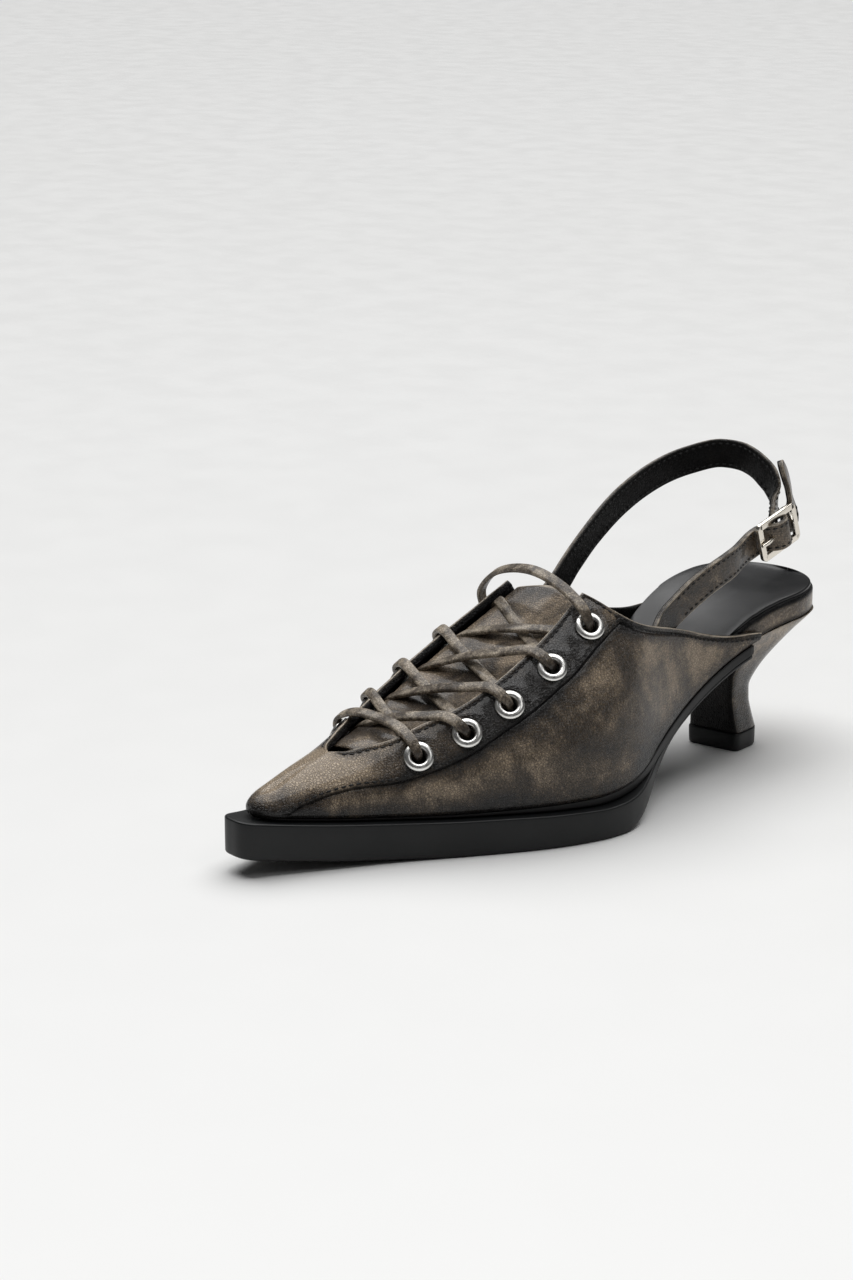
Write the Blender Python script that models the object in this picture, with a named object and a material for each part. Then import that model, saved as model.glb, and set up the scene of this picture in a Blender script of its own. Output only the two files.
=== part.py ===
# Lace up heel: the left shoe of a womens pair, a slingback with a pointed toe and a laced front.
# It stands on its sole. The toe points to -Y, the outer side of the foot is +X, the floor is z = 0.
# Every piece is drawn from the toe tip in the shoe's own frame, and the empty "shoe" moves that
# frame so that the origin lies on the floor under the middle of the shoe.
import math

import bmesh
import bpy
import numpy as np
from mathutils import Matrix, Vector

MM = 0.001

# Sizes of the last
SHOE_LENGTH = 268 * MM
BALL_WIDTH = 90 * MM
INSTEP_HEIGHT = 71 * MM
HEEL_HEIGHT = 52 * MM
HEEL_ROUND = 27 * MM
TOE_SPRING = 7 * MM
TOE_ROUND = 7 * MM
TOE_LEAN = 9 * MM

# Sizes of the bottom
PLATFORM = 12.6 * MM
MIDSOLE = 3.4 * MM
SOLE_FLANGE = 3.2 * MM
TOE_FLANGE = 8 * MM
SOLE_TIP = 7 * MM
FOOTBED = 8.3 * MM
SOCK = 1.0 * MM
TOP_PIECE = 7 * MM
HEEL_SEAT_LENGTH = 49 * MM
HEEL_SEAT_WIDTH = 54 * MM
HEEL_TURN = math.radians(13)

# Sizes of the upper
WALL = 2.0 * MM
PANEL_STEP = 0.6 * MM
THROAT_HALF = 24 * MM
THROAT_SAG = 6.5 * MM
TONGUE = 1.6 * MM
TONGUE_COVER = 4.2 * MM

# Sizes of the fastenings
EYELET_RADIUS = 5.2 * MM
EYELET_HOLE = 2.6 * MM
EYELET_WALL = 0.5 * MM
EYELET_CLEAR = 0.4 * MM
LACE_WIDTH = 4.2 * MM
LACE_THICK = 1.6 * MM
STRAP_WIDTH = 10.8 * MM
STRAP_THICK = 2.1 * MM
STRAP_CLEAR = 0.9 * MM
BUCKLE_LENGTH = 21.5 * MM
BUCKLE_WIDTH = 15.2 * MM
BUCKLE_WIRE = 1.8 * MM
BUCKLE_BAR = 1.4 * MM
PRONG_WIRE = 1.2 * MM
PRONG_SLOT = 5.6 * MM

GAP = 0.3 * MM
THIN_EDGE = 0.5 * MM
SIDES = ("lateral", "medial")


def table(columns, *rows):
    return dict(zip(columns.split(), np.array(rows, float).T))


# Half widths of the insole to each side of the line from toe to heel, in shares of BALL_WIDTH
LAST = table("along lateral medial",
             (.00, .022, .022), (.026, .036, .036), (.052, .064, .059), (.093, .112, .100),
             (.187, .224, .198), (.280, .356, .289), (.328, .422, .327), (.373, .476, .347),
             (.418, .513, .349), (.463, .531, .336), (.500, .521, .313), (.530, .496, .293),
             (.560, .456, .276), (.597, .396, .256), (.634, .347, .244), (.672, .307, .250),
             (.709, .280, .270), (.746, .264, .298), (.802, .256, .336), (.858, .256, .358),
             (.914, .256, .362), (1.00, .256, .362))
# Toe spring, rise of the waist to the heel seat, and the thicknesses of midsole, sole, rim and footbed,
# in shares of TOE_SPRING, HEEL_HEIGHT, MIDSOLE, PLATFORM, SOLE_FLANGE and FOOTBED
LEVEL = table("along spring rise midsole sole rim footbed",
              (.00, 1.0, .00, .26, 2, 1, .26), (.037, .77, .00, .26, 2, 1, .26),
              (.075, .57, .00, .26, 2, 1, .26), (.112, .40, .00, .26, 2, 1, .26),
              (.149, .26, .00, .26, 2, 1, .26), (.187, .15, .00, .28, 2, 1, .26),
              (.224, .07, .00, .30, 2, 1, .26), (.261, .015, .0, .33, 2, 1, .26),
              (.300, .00, .00, .38, 2, 1, .26), (.400, .00, .00, .66, 2, 1, .26),
              (.448, .00, .00, .80, 2, 1, .26), (.478, .00, .01, .88, 1.0, 1, .26),
              (.500, .00, .026, .95, .90, .93, .26), (.526, .00, .055, 1, .80, .72, .26),
              (.560, .00, .115, 1, .62, .35, .28), (.597, .00, .205, 1, .38, .1, .30),
              (.634, .00, .31, 1, .20, 0, .33), (.672, .00, .425, 1, .143, 0, .38),
              (.709, .00, .54, 1, .143, 0, .46), (.746, .0, .655, 1, .143, 0, .60),
              (.784, .00, .765, 1, .143, 0, .80), (.828, .00, .87, 1, .143, 0, .97),
              (.877, .0, .95, 1, .143, 0, 1), (.933, .00, .99, 1, .143, 0, 1),
              (1.00, .00, 1.0, 1, .143, 0, 1))
# Ridge of the upper: offset to the outer side in shares of BALL_WIDTH, height over the lower edge in
# shares of INSTEP_HEIGHT, and the power that makes a section full or slack
RIDGE = table("along side height full",
              (.040, .00, .048, .80), (.056, .00, .088, .80), (.078, .00, .130, .80),
              (.112, .00, .199, .78), (.168, .00, .285, .75), (.224, .005, .393, .72),
              (.280, .012, .503, .70), (.336, .020, .617, .70), (.392, .027, .741, .72),
              (.448, .033, .870, .76), (.496, .035, .980, .80), (.560, .03, 1.12, .85),
              (.672, .00, 1.30, .90), (.828, -.03, 1.36, 1.0), (1.0, -.03, 1.36, 1.0))
# Half width of the throat, measured over the leather from the ridge, in shares of THROAT_HALF
THROAT = table("along half",
               (.152, .00), (.160, .14), (.182, .32), (.216, .55), (.251, .67), (.287, .83),
               (.339, .96), (.401, 1.0), (.442, .97), (.482, .91), (.501, .90))
# The top line falls from the flap's corner to the heel seat, in shares of the corner's height
TOP_LINE = table("along height",
                 (.501, 1.0), (.511, .960), (.523, .906), (.537, .853), (.572, .745), (.610, .637),
                 (.640, .550), (.673, .448), (.720, .295), (.772, .150), (.830, .045))
# The seam between front panel and quarter, in shares of INSTEP_HEIGHT over the lower edge
SEAM = table("along height",
             (.060, .00), (.074, .048), (.092, .079), (.119, .115), (.145, .139), (.201, .168),
             (.244, .217), (.293, .293), (.334, .379), (.364, .439), (.411, .541), (.436, .593),
             (.465, .661), (.495, .718), (.537, .770))
# Eyelets: place along the shoe, and distance over the leather from the ridge in shares of THROAT_HALF
EYELETS = table("along over", (.231, 1.03), (.292, 1.26), (.350, 1.395), (.416, 1.43), (.484, 1.37))
# Heel block: height over the top piece, front and back face from the shoe's end in shares of
# HEEL_SEAT_LENGTH, side and half width in shares of HEEL_SEAT_WIDTH, share of HEEL_TURN
HEEL = table("up front back side half turn",
             (.00, .950, .560, -.01, .204, 1.), (.11, .955, .590, -.01, .194, .95),
             (.29, .960, .630, .000, .178, .8), (.44, .970, .620, .000, .190, .6),
             (.60, 1.00, .500, -.03, .265, .3), (.74, 1.00, .350, -.06, .352, .1),
             (.88, 1.00, .180, -.08, .435, .0), (.96, 1.00, .075, -.088, .485, .0),
             (1.0, 1.00, .035, -.088, .504, 0))
# Middle lines of the two straps from their seats inside the upper: along and side and height in
# shares of SHOE_LENGTH, BALL_WIDTH and HEEL_HEIGHT
SLING = table("along side height",
              (.560, -.190, 1.16), (.590, -.205, 1.30), (.640, -.245, 1.48), (.694, -.292, 1.64),
              (.757, -.330, 1.80), (.821, -.345, 1.92), (.881, -.318, 2.00), (.918, -.240, 2.045),
              (.930, -.135, 2.03), (.928, -.040, 1.98), (.927, .025, 1.90), (.921, .068, 1.80))
BILLET = table("along side height",
               (.605, .290, 1.06), (.655, .290, 1.25), (.720, .290, 1.44), (.768, .278, 1.52))
BUCKLE_AT = (.869, .240, 1.65)
BUCKLE_AIM = (-.07, .95, .30)
FREE_END = table("along side height", (.912, .182, 1.80), (.908, .172, 1.95), (.896, .160, 2.12))
FREE_TURN = math.radians(40)


def follow(rows, column, along):
    # Smooth curve through a column, with the slopes of the chords beside each row
    s = rows["along"] if "along" in rows else rows["up"]
    v = rows[column]
    h = np.diff(s)
    d = np.diff(v) / h
    inner = (d[1:] * h[:-1] + d[:-1] * h[1:]) / (h[1:] + h[:-1])
    inner = np.where(d[1:] * d[:-1] <= 0, 0, inner)
    t = np.concatenate([[d[0]], inner, [d[-1]]])
    a = min(max(along, s[0]), s[-1])
    i = min(max(int(np.searchsorted(s, a)) - 1, 0), len(s) - 2)
    u = (a - s[i]) / h[i]
    return float(v[i] * (1 + 2 * u) * (1 - u) ** 2 + h[i] * t[i] * u * (1 - u) ** 2
                 + v[i + 1] * u * u * (3 - 2 * u) - h[i] * t[i + 1] * u * u * (1 - u))


def ease(value, low, high):
    t = min(max((value - low) / (high - low), 0), 1)
    return t * t * (3 - 2 * t)


def rounding(distance, radius, power=2.0):
    t = min(max(distance / radius, 0), 1)
    return (1 - (1 - t) ** power) ** (1 / power)


# A layer starts this share of its width wide, and rounds out with this power
TIP_SHARE = .3
TIP_POWER = 2.6

# Levels of the layers, and the place along the shoe where the sole meets the floor
FLAT_AT = .300
FOREFOOT = PLATFORM + 2 * GAP + MIDSOLE * follow(LEVEL, "midsole", FLAT_AT)
BREAST = SHOE_LENGTH - HEEL_SEAT_LENGTH
THROAT_END = float(THROAT["along"][-1])
UPPER_END = float(TOP_LINE["along"][-1])


def feather(along):
    # Height of the upper's lower edge, on top of the midsole
    rise = (HEEL_HEIGHT - FOREFOOT) * follow(LEVEL, "rise", along)
    return FOREFOOT + TOE_SPRING * follow(LEVEL, "spring", along) + rise


def midsole_under(along):
    return feather(along) - GAP - MIDSOLE * follow(LEVEL, "midsole", along)


def sole_top(along):
    return midsole_under(along) - GAP


def sole_under(along):
    ground = TOE_SPRING * follow(LEVEL, "spring", along)
    return max(ground, sole_top(along) - PLATFORM * follow(LEVEL, "sole", along))


def half_widths(along, grow=0.0):
    return [BALL_WIDTH * follow(LAST, side, along) + grow for side in SIDES]


# The upper's outer face
def lower_edge(side, along):
    y = along * SHOE_LENGTH
    half = (BALL_WIDTH * follow(LAST, side, along) + WALL) * rounding(y - TOE_FLANGE, TOE_ROUND, 2.3)
    return Vector((half if side == "lateral" else -half, y, feather(along)))


def ridge(along):
    y = along * SHOE_LENGTH + TOE_LEAN * (1 - ease(along, .017, .16))
    at = y / SHOE_LENGTH
    height = feather(at) + INSTEP_HEIGHT * follow(RIDGE, "height", at)
    return Vector((BALL_WIDTH * follow(RIDGE, "side", at), y, height))


def skin(side, along, turn):
    # turn runs from 0 at the lower edge to a right angle at the ridge
    low = lower_edge(side, along)
    high = ridge(along)
    swing = 1 - math.cos(turn)
    climb = math.sin(turn) ** follow(RIDGE, "full", along)
    return Vector((low.x + (high.x - low.x) * swing, low.y + (high.y - low.y) * swing,
                   low.z + (high.z - low.z) * climb))


def skin_normal(side, along, turn):
    step = 0.004
    low_turn = max(turn - step, 0.0)
    high_turn = min(turn + step, math.pi / 2)
    climb = skin(side, along, high_turn) - skin(side, along, low_turn)
    start = TOE_FLANGE / SHOE_LENGTH
    if along - start < 1e-6:
        normal = Vector((0, -climb.z, climb.y))
        return normal.normalized()
    reach = min(0.002, 0.4 * (along - start))
    walk = skin(side, along + reach, turn) - skin(side, along - reach, turn)
    normal = climb.cross(walk) if side == "medial" else walk.cross(climb)
    if turn > math.pi / 2 - 1e-6:
        normal.x = 0
    return normal.normalized()


def shell(side, along, turn, lift):
    return skin(side, along, turn) + skin_normal(side, along, turn) * lift


def turn_of_height(side, along, height):
    rise = ridge(along).z - feather(along)
    share = min(max(height / rise, 0), 1)
    return math.asin(share ** (1 / follow(RIDGE, "full", along)))


def turn_of_reach(side, along, reach):
    turns = np.linspace(math.pi / 2, 0, 61)
    points = [skin(side, along, t) for t in turns]
    walked = np.concatenate([[0], np.cumsum([(b - a).length for a, b in zip(points, points[1:])])])
    return float(np.interp(reach, walked, turns))


def over(along, reach, lift):
    # A place over the front, with reach measured over the leather from the ridge, outer side positive.
    # Between the flaps the tongue and the laces sag below the last's own ridge.
    side = "lateral" if reach >= 0 else "medial"
    turn = turn_of_reach(side, along, abs(reach))
    open_half = max(throat(min(along, THROAT_END)), 1 * MM)
    sag = THROAT_SAG * ease(along, .19, .33) * max(1 - (reach / open_half) ** 2, 0)
    return shell(side, along, turn, lift - sag), skin_normal(side, along, turn)


def throat(along):
    return THROAT_HALF * follow(THROAT, "half", along)


def top_turn(side, along):
    if along <= THROAT["along"][0] + 1e-9:
        return math.pi / 2
    if along <= THROAT_END:
        return turn_of_reach(side, along, throat(along))
    corner = turn_of_reach(side, THROAT_END, throat(THROAT_END))
    height = skin(side, THROAT_END, corner).z - feather(THROAT_END)
    return turn_of_height(side, along, height * follow(TOP_LINE, "height", along))


def seam_turn(side, along):
    turn = turn_of_height(side, along, INSTEP_HEIGHT * max(follow(SEAM, "height", along), .02))
    return min(turn, top_turn(side, along) * .93)


def material(name, color, roughness, metallic=0.0):
    made = bpy.data.materials.get(name)
    if made is None:
        made = bpy.data.materials.new(name)
        made.use_nodes = True
        shader = made.node_tree.nodes["Principled BSDF"]
        shader.inputs["Base Color"].default_value = (*color, 1)
        shader.inputs["Roughness"].default_value = roughness
        shader.inputs["Metallic"].default_value = metallic
        made.diffuse_color = (*color, 1)
    return made


FINISHES = {
    "leather": ((.085, .062, .042), .42, 0.0),
    "sole_rubber": ((.018, .019, .021), .45, 0.0),
    "sock_leather": ((.02, .02, .022), .50, 0.0),
    "lace_leather": ((.11, .085, .06), .50, 0.0),
    "nickel": ((.75, .73, .69), .22, 1.0),
}


def piece(name, finish, points, faces, parent):
    mesh = bpy.data.meshes.new(name)
    made = bmesh.new()
    corners = [made.verts.new(p) for p in points]
    for face in faces:
        made.faces.new([corners[i] for i in face])
    bmesh.ops.remove_doubles(made, verts=made.verts, dist=0.002 * MM)
    bmesh.ops.dissolve_degenerate(made, edges=made.edges, dist=0.002 * MM)
    bmesh.ops.recalc_face_normals(made, faces=made.faces)
    made.to_mesh(mesh)
    made.free()
    mesh.materials.append(material(finish, *FINISHES[finish]))
    mesh.shade_smooth()
    mesh.set_sharp_from_angle(angle=math.radians(35))
    made = bpy.data.objects.new(name, mesh)
    bpy.context.collection.objects.link(made)
    made.parent = parent
    return made


def lofted(rings):
    # Side faces between rings of equal count, and a cap at each end
    count = len(rings[0])
    points = [p for ring in rings for p in ring]
    faces = []
    for i in range(len(rings) - 1):
        for j in range(count):
            k = (j + 1) % count
            faces.append((i * count + j, i * count + k, (i + 1) * count + k, (i + 1) * count + j))
    faces.append(tuple(range(count))[::-1])
    faces.append(tuple(range((len(rings) - 1) * count, len(rings) * count)))
    return points, faces


def stations(start, end, count, tip=0.0, tip_count=0):
    # Places along the shoe, closer together over a round tip at the start
    first = [start + tip * (1 - math.cos(math.pi / 2 * i / tip_count)) for i in range(tip_count)]
    return first + list(np.linspace(start + tip, end, count))


def slab_ring(y, x_low, x_high, under, top, edge):
    # Cross section of a layer: rounded edges on a thick one, a plain bevel on a thin one
    e = min(edge, .45 * (top - under), .3 * (x_high - x_low))
    outline = [(x_low + e, under),
               (x_high - e, under), (x_high - .3 * e, under + .3 * e), (x_high, under + e),
               (x_high, top - e), (x_high - .3 * e, top - .3 * e), (x_high - e, top),
               (x_low + e, top), (x_low + .3 * e, top - .3 * e), (x_low, top - e),
               (x_low, under + e), (x_low + .3 * e, under + .3 * e)]
    if edge < THIN_EDGE:
        outline = [corner for i, corner in enumerate(outline) if i not in (2, 5, 8, 11)]
    return [Vector((x, y, z)) for x, z in outline]


def rim_reach(along):
    # How far the sole stands out beyond the insole
    return WALL * (1 - .3 * ease(along, .5, .6)) + SOLE_FLANGE * follow(LEVEL, "rim", along)


def outsole(parent):
    rings = []
    for at in stations(0, (BREAST - GAP) / SHOE_LENGTH, 26, SOLE_TIP / SHOE_LENGTH, 5):
        y = at * SHOE_LENGTH
        grow = rim_reach(at)
        tip = TIP_SHARE + (1 - TIP_SHARE) * rounding(y, SOLE_TIP, TIP_POWER)
        lateral, medial = half_widths(at, grow)
        rings.append(slab_ring(y, -medial * tip, lateral * tip, sole_under(at), sole_top(at), 1.2 * MM))
    return piece("outsole", "sole_rubber", *lofted(rings), parent)


def midsole(parent):
    rings = []
    start = (TOE_FLANGE + 1.5 * MM) / SHOE_LENGTH
    for at in stations(start, (BREAST - GAP) / SHOE_LENGTH, 21, TOE_ROUND / SHOE_LENGTH, 3):
        y = at * SHOE_LENGTH
        inset = 1.2 * MM * (1 - ease(at, .5, .62))
        tip = TIP_SHARE + (1 - TIP_SHARE) * rounding(y - start * SHOE_LENGTH, TOE_ROUND, TIP_POWER)
        lateral, medial = half_widths(at, WALL - inset)
        top = feather(at) - GAP
        rings.append(slab_ring(y, -medial * tip, lateral * tip, midsole_under(at), top, .3 * MM))
    return piece("midsole", "sole_rubber", *lofted(rings), parent)


def inner_halves(at, height, margin):
    # Clear half widths inside the upper at a height over its lower edge, and of the bare seat behind it
    if at > UPPER_END:
        return half_widths(at, -margin)
    reach = []
    for side in SIDES:
        point = skin(side, at, turn_of_height(side, at, height))
        reach.append(abs(point.x) - WALL - margin - .9 * MM * (1 - ease(at, .05, .3)) - .25 * MM)
    return reach


def footbed_top(at):
    return feather(at) + FOOTBED * follow(LEVEL, "footbed", at)


def seat_rings(under, top, margin, edge, start, tip, count):
    rings = []
    last = 1 - margin / SHOE_LENGTH
    front = stations(start, 1 - HEEL_ROUND / SHOE_LENGTH, count, tip / SHOE_LENGTH, 3)
    bend_at = 1 - HEEL_ROUND / SHOE_LENGTH
    back = [bend_at + (last - bend_at) * math.sin(math.pi / 2 * i / 9) for i in range(1, 9)]
    back.append(last - .05 * MM / SHOE_LENGTH)
    for at in front + back:
        y = at * SHOE_LENGTH
        lateral, medial = inner_halves(at, top(at) - feather(at), margin)
        nose = TIP_SHARE + (1 - TIP_SHARE) * rounding(y - start * SHOE_LENGTH, tip, TIP_POWER)
        bend = max((y - SHOE_LENGTH + HEEL_ROUND) / (HEEL_ROUND - margin), 0)
        shrink = nose * math.sqrt(max(1 - bend * bend, .0004))
        middle = (lateral - medial) / 2
        half = (lateral + medial) / 2 * shrink
        rings.append(slab_ring(y, middle - half, middle + half, under(at), top(at), edge))
    return rings


def footbed(parent):
    start = (TOE_FLANGE + 2 * WALL + 4 * MM) / SHOE_LENGTH
    rings = seat_rings(feather, footbed_top, GAP, 1.0 * MM, start, TOE_ROUND, 22)
    return piece("footbed", "leather", *lofted(rings), parent)


def sock_lining(parent):
    start = (TOE_FLANGE + 2 * WALL + 8 * MM) / SHOE_LENGTH
    rings = seat_rings(lambda at: footbed_top(at) + GAP, lambda at: footbed_top(at) + GAP + SOCK,
                       4 * GAP, .3 * MM, start, TOE_ROUND, 20)
    return piece("sock_lining", "sock_leather", *lofted(rings), parent)


HEEL_SIDES = 24


def heel_ring(up, grow, height_of):
    # A D shape: nearly straight in front, round behind, turned about its middle
    front = SHOE_LENGTH - HEEL_SEAT_LENGTH * follow(HEEL, "front", up)
    back = SHOE_LENGTH - HEEL_SEAT_LENGTH * follow(HEEL, "back", up)
    half = HEEL_SEAT_WIDTH * follow(HEEL, "half", up) + grow
    middle_x = HEEL_SEAT_WIDTH * follow(HEEL, "side", up)
    widest = back - min(.92 * half, .62 * (back - front))
    ring = []
    for i in range(HEEL_SIDES):
        a = 2 * math.pi * i / HEEL_SIDES
        behind = math.sin(a) > 0
        power = 2 / (2.3 if behind else 7)
        x = half * math.copysign(abs(math.cos(a)) ** power, math.cos(a))
        length = (back - widest if behind else widest - front) + grow
        y = length * math.copysign(abs(math.sin(a)) ** power, math.sin(a))
        turned = Matrix.Rotation(HEEL_TURN * follow(HEEL, "turn", up), 3, "Z") @ Vector((x, y, 0))
        x = middle_x + turned.x
        y = widest + turned.y
        ring.append(Vector((x, y, height_of(y))))
    return ring


def heel_block(parent):
    low = TOP_PIECE + GAP
    rings = []
    for up in list(HEEL["up"][:-1]) + [.2, .37, .52, .67, 1.0]:
        rings.append((up, heel_ring(up, 0, lambda y: low + up * (feather(y / SHOE_LENGTH) - GAP - low))))
    rings = [ring for up, ring in sorted(rings, key=lambda pair: pair[0])]
    return piece("heel_block", "leather", *lofted(rings), parent)


def heel_top_piece(parent):
    levels = ((0, -.4 * MM), (.4 * MM, .2 * MM), (TOP_PIECE - .3 * MM, .3 * MM), (TOP_PIECE, .1 * MM))
    rings = [heel_ring(0, grow, lambda y: z) for z, grow in levels]
    return piece("heel_top_piece", "sole_rubber", *lofted(rings), parent)


def upper(parent):
    start = TOE_FLANGE / SHOE_LENGTH
    tip = TOE_ROUND / SHOE_LENGTH
    apex = float(THROAT["along"][0])
    places = stations(start, .095, 3, tip, 5) + list(np.linspace(.095, apex, 3))[1:]
    places += [.158, .170, .190] + list(np.linspace(.213, THROAT_END, 12)) + [.511, .523, .537]
    places += list(np.linspace(.56, UPPER_END, 8))
    low_rows = [0, .3, .62, 1]
    high_rows = [0, .16, .40, .70, 1]
    rows = len(low_rows) + len(high_rows)
    points = []
    faces = []
    for side in SIDES:
        grids = []
        for inner in (False, True):
            grid = []
            for at in places:
                seam = seam_turn(side, at)
                top = top_turn(side, at)
                gap = min(.02, .2 * (top - seam))
                turns = [seam * r for r in low_rows]
                turns += [seam + gap + (top - seam - gap) * r for r in high_rows]
                low_step = PANEL_STEP * (1 - ease(at, .055, .07))
                high_step = PANEL_STEP * (1 - ease(at, .535, .56))
                column = []
                for i, turn in enumerate(turns):
                    step = low_step if i < len(low_rows) else high_step
                    lift = -WALL if inner else step
                    column.append(len(points))
                    points.append(shell(side, at, turn, lift))
                grid.append(column)
            grids.append(grid)
        outer, inside = grids
        for i in range(len(places) - 1):
            for j in range(rows - 1):
                faces.append((outer[i][j], outer[i + 1][j], outer[i + 1][j + 1], outer[i][j + 1]))
                faces.append((inside[i][j], inside[i][j + 1], inside[i + 1][j + 1], inside[i + 1][j]))
            faces.append((outer[i][0], inside[i][0], inside[i + 1][0], outer[i + 1][0]))
            if places[i] >= apex - 1e-6:
                faces.append((outer[i][-1], outer[i + 1][-1], inside[i + 1][-1], inside[i][-1]))
        for j in range(rows - 1):
            faces.append((outer[-1][j], inside[-1][j], inside[-1][j + 1], outer[-1][j + 1]))
    made = piece("upper", "leather", points, faces, parent)
    for side in SIDES:
        for number in range(len(EYELETS["along"])):
            punch(made, f"punch_{side}_{number + 1}", eyelet_seat(side, number), parent)
    return made


EYELET_SIDES = 14


def eyelet_seat(side, number):
    # A frame on the flap with its Z axis out of the leather
    reach = THROAT_HALF * EYELETS["over"][number] * (1 if side == "lateral" else -1)
    place, normal = over(float(EYELETS["along"][number]), reach, 0)
    turn = normal.to_track_quat("Z", "Y").to_matrix().to_4x4()
    return Matrix.Translation(place) @ turn


def punch(target, name, seat, parent):
    radius = EYELET_HOLE + EYELET_WALL + GAP
    made = bmesh.new()
    bmesh.ops.create_cone(made, cap_ends=True, segments=EYELET_SIDES, radius1=radius, radius2=radius,
                          depth=6 * WALL)
    cutter = tool(name, made, parent)
    cutter.matrix_local = seat
    cut(target, cutter, "DIFFERENCE")


def eyelet(side, number, parent):
    # Barrel through the flap, domed face outside, rolled rim inside
    barrel = EYELET_HOLE + EYELET_WALL
    face = PANEL_STEP + GAP + EYELET_CLEAR
    back = -(WALL + .9 * MM)
    rim = EYELET_RADIUS - .9 * MM
    profile = ((EYELET_HOLE, face + .3 * MM), (EYELET_HOLE + .8 * MM, face + 1.0 * MM),
               (EYELET_RADIUS - .7 * MM, face + .8 * MM), (EYELET_RADIUS, face), (barrel, face),
               (barrel, back), (rim, back), (rim, back - .5 * MM), (EYELET_HOLE, back - .5 * MM))
    count = EYELET_SIDES
    points = []
    faces = []
    for i in range(count):
        a = 2 * math.pi * (i + .5) / count
        points += [Vector((r * math.cos(a), r * math.sin(a), z)) for r, z in profile]
    size = len(profile)
    for i in range(count):
        k = (i + 1) % count
        for j in range(size):
            m = (j + 1) % size
            faces.append((i * size + j, k * size + j, k * size + m, i * size + m))
    made = piece(f"eyelet_{side}_{number + 1}", "nickel", points, faces, parent)
    made.matrix_local = eyelet_seat(side, number)
    return made


def tongue(parent):
    columns = []
    reaches = np.linspace(-1, 1, 11)
    for at in np.linspace(.178, THROAT_END - .012, 13):
        half = throat(min(at, THROAT_END)) + TONGUE_COVER * ease(at, .15, .22)
        drop = WALL + GAP + (LACE_THICK - GAP) * ease(at, .185, .225)
        top = [over(at, half * r, -drop)[0] for r in reaches]
        under = [over(at, half * r, -drop - TONGUE)[0] for r in reaches]
        columns.append(top + under[::-1])
    return piece("tongue", "leather", *lofted(columns), parent)


def strip(route, normals, width, thick):
    # A flat thong along a route, its broad faces square to the normals
    rings = []
    for i, point in enumerate(route):
        ahead = route[min(i + 1, len(route) - 1)] - route[max(i - 1, 0)]
        ahead.normalize()
        out = normals[i] - ahead * normals[i].dot(ahead)
        out.normalize()
        across = ahead.cross(out)
        w = width / 2
        t = thick / 2
        corner = min(.35 * thick, .2 * width)
        outline = ((-w, -t + corner), (-w + corner, -t), (w - corner, -t), (w, -t + corner),
                   (w, t - corner), (w - corner, t), (-w + corner, t), (-w, t - corner))
        if width < STRAP_WIDTH / 2:
            outline = ((-w, 0), (-w + corner, -t), (w - corner, -t),
                       (w, 0), (w - corner, t), (-w + corner, t))
        rings.append([point + across * a + out * b for a, b in outline])
    return lofted(rings)


def lace_route(start, end, lifts, count=12):
    # start and end are (along, reach); lifts are pairs of share and height over the skin
    shares = {"along": np.array([s for s, lift in lifts]), "lift": np.array([lift for s, lift in lifts])}
    route = []
    normals = []
    for i in range(count):
        share = i / (count - 1)
        at = start[0] + (end[0] - start[0]) * share
        reach = start[1] + (end[1] - start[1]) * share
        place, normal = over(at, reach, follow(shares, "lift", share))
        route.append(place)
        normals.append(normal)
    return route, normals


def eyelet_spot(number, sign, short=0.0):
    return float(EYELETS["along"][number]), sign * (THROAT_HALF * float(EYELETS["over"][number]) - short)


def throat_spot(number, sign):
    at = float(EYELETS["along"][number]) + .006
    return at, sign * (throat(min(at, THROAT_END)) - 1.4 * MM - LACE_WIDTH / 4)


def lace_bar(name, number, crown, parent):
    on_flap = PANEL_STEP + GAP + LACE_THICK / 2
    short = EYELET_RADIUS + 2 * GAP
    lifts = ((0, on_flap + GAP), (.2, on_flap + 2 * GAP), (.5, crown), (.8, on_flap + 2 * GAP),
             (1, on_flap + GAP))
    route, normals = lace_route(eyelet_spot(number, -1, short), eyelet_spot(number, 1, short), lifts)
    return piece(name, "lace_leather", *strip(route, normals, LACE_WIDTH, LACE_THICK), parent)


def lace_cross(number, parent):
    # Two thongs that cross over the tongue; the one that ends on the outer side lies on top
    on_flap = PANEL_STEP + 2 * GAP + LACE_THICK / 2
    deep = -(WALL + LACE_THICK / 2 - 2 * GAP)
    hidden = number + 2 == len(EYELETS["along"])
    short = EYELET_RADIUS + 2 * GAP
    made = []
    for sign, level in ((1, .1 * MM), (-1, -1.1 * MM)):
        start = throat_spot(number, -sign)
        if hidden:
            at, reach = throat_spot(number + 1, sign)
            end = (at - .02, reach)
            lifts = ((0, deep), (.5, level - .4 * MM), (1, deep))
        else:
            end = eyelet_spot(number + 1, sign, short)
            lifts = ((0, deep), (.45, level), (.70, on_flap), (1, on_flap))
        route, normals = lace_route(start, end, lifts)
        name = f"lace_cross_{number + 1}" if sign == 1 else f"lace_under_{number + 1}"
        made.append(piece(name, "lace_leather", *strip(route, normals, LACE_WIDTH, LACE_THICK), parent))
    top, under = made
    under.hide_render = True
    under.display_type = "WIRE"
    cut(top, under, "UNION")
    return top


def strap_points(rows, seated=None):
    # The first two points of a seated strap lie against the inside of that side's wall
    points = [Vector((BALL_WIDTH * x, SHOE_LENGTH * y, HEEL_HEIGHT * z))
              for y, x, z in zip(rows["along"], rows["side"], rows["height"])]
    for i in range(2 if seated else 0):
        at = float(rows["along"][i])
        turn = min(turn_of_height(seated, at, points[i].z - feather(at)), top_turn(seated, at))
        inner = abs(skin(seated, at, turn).x) - WALL - STRAP_THICK / 2 - STRAP_CLEAR
        points[i].x = inner if seated == "lateral" else -inner
    return points


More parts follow.
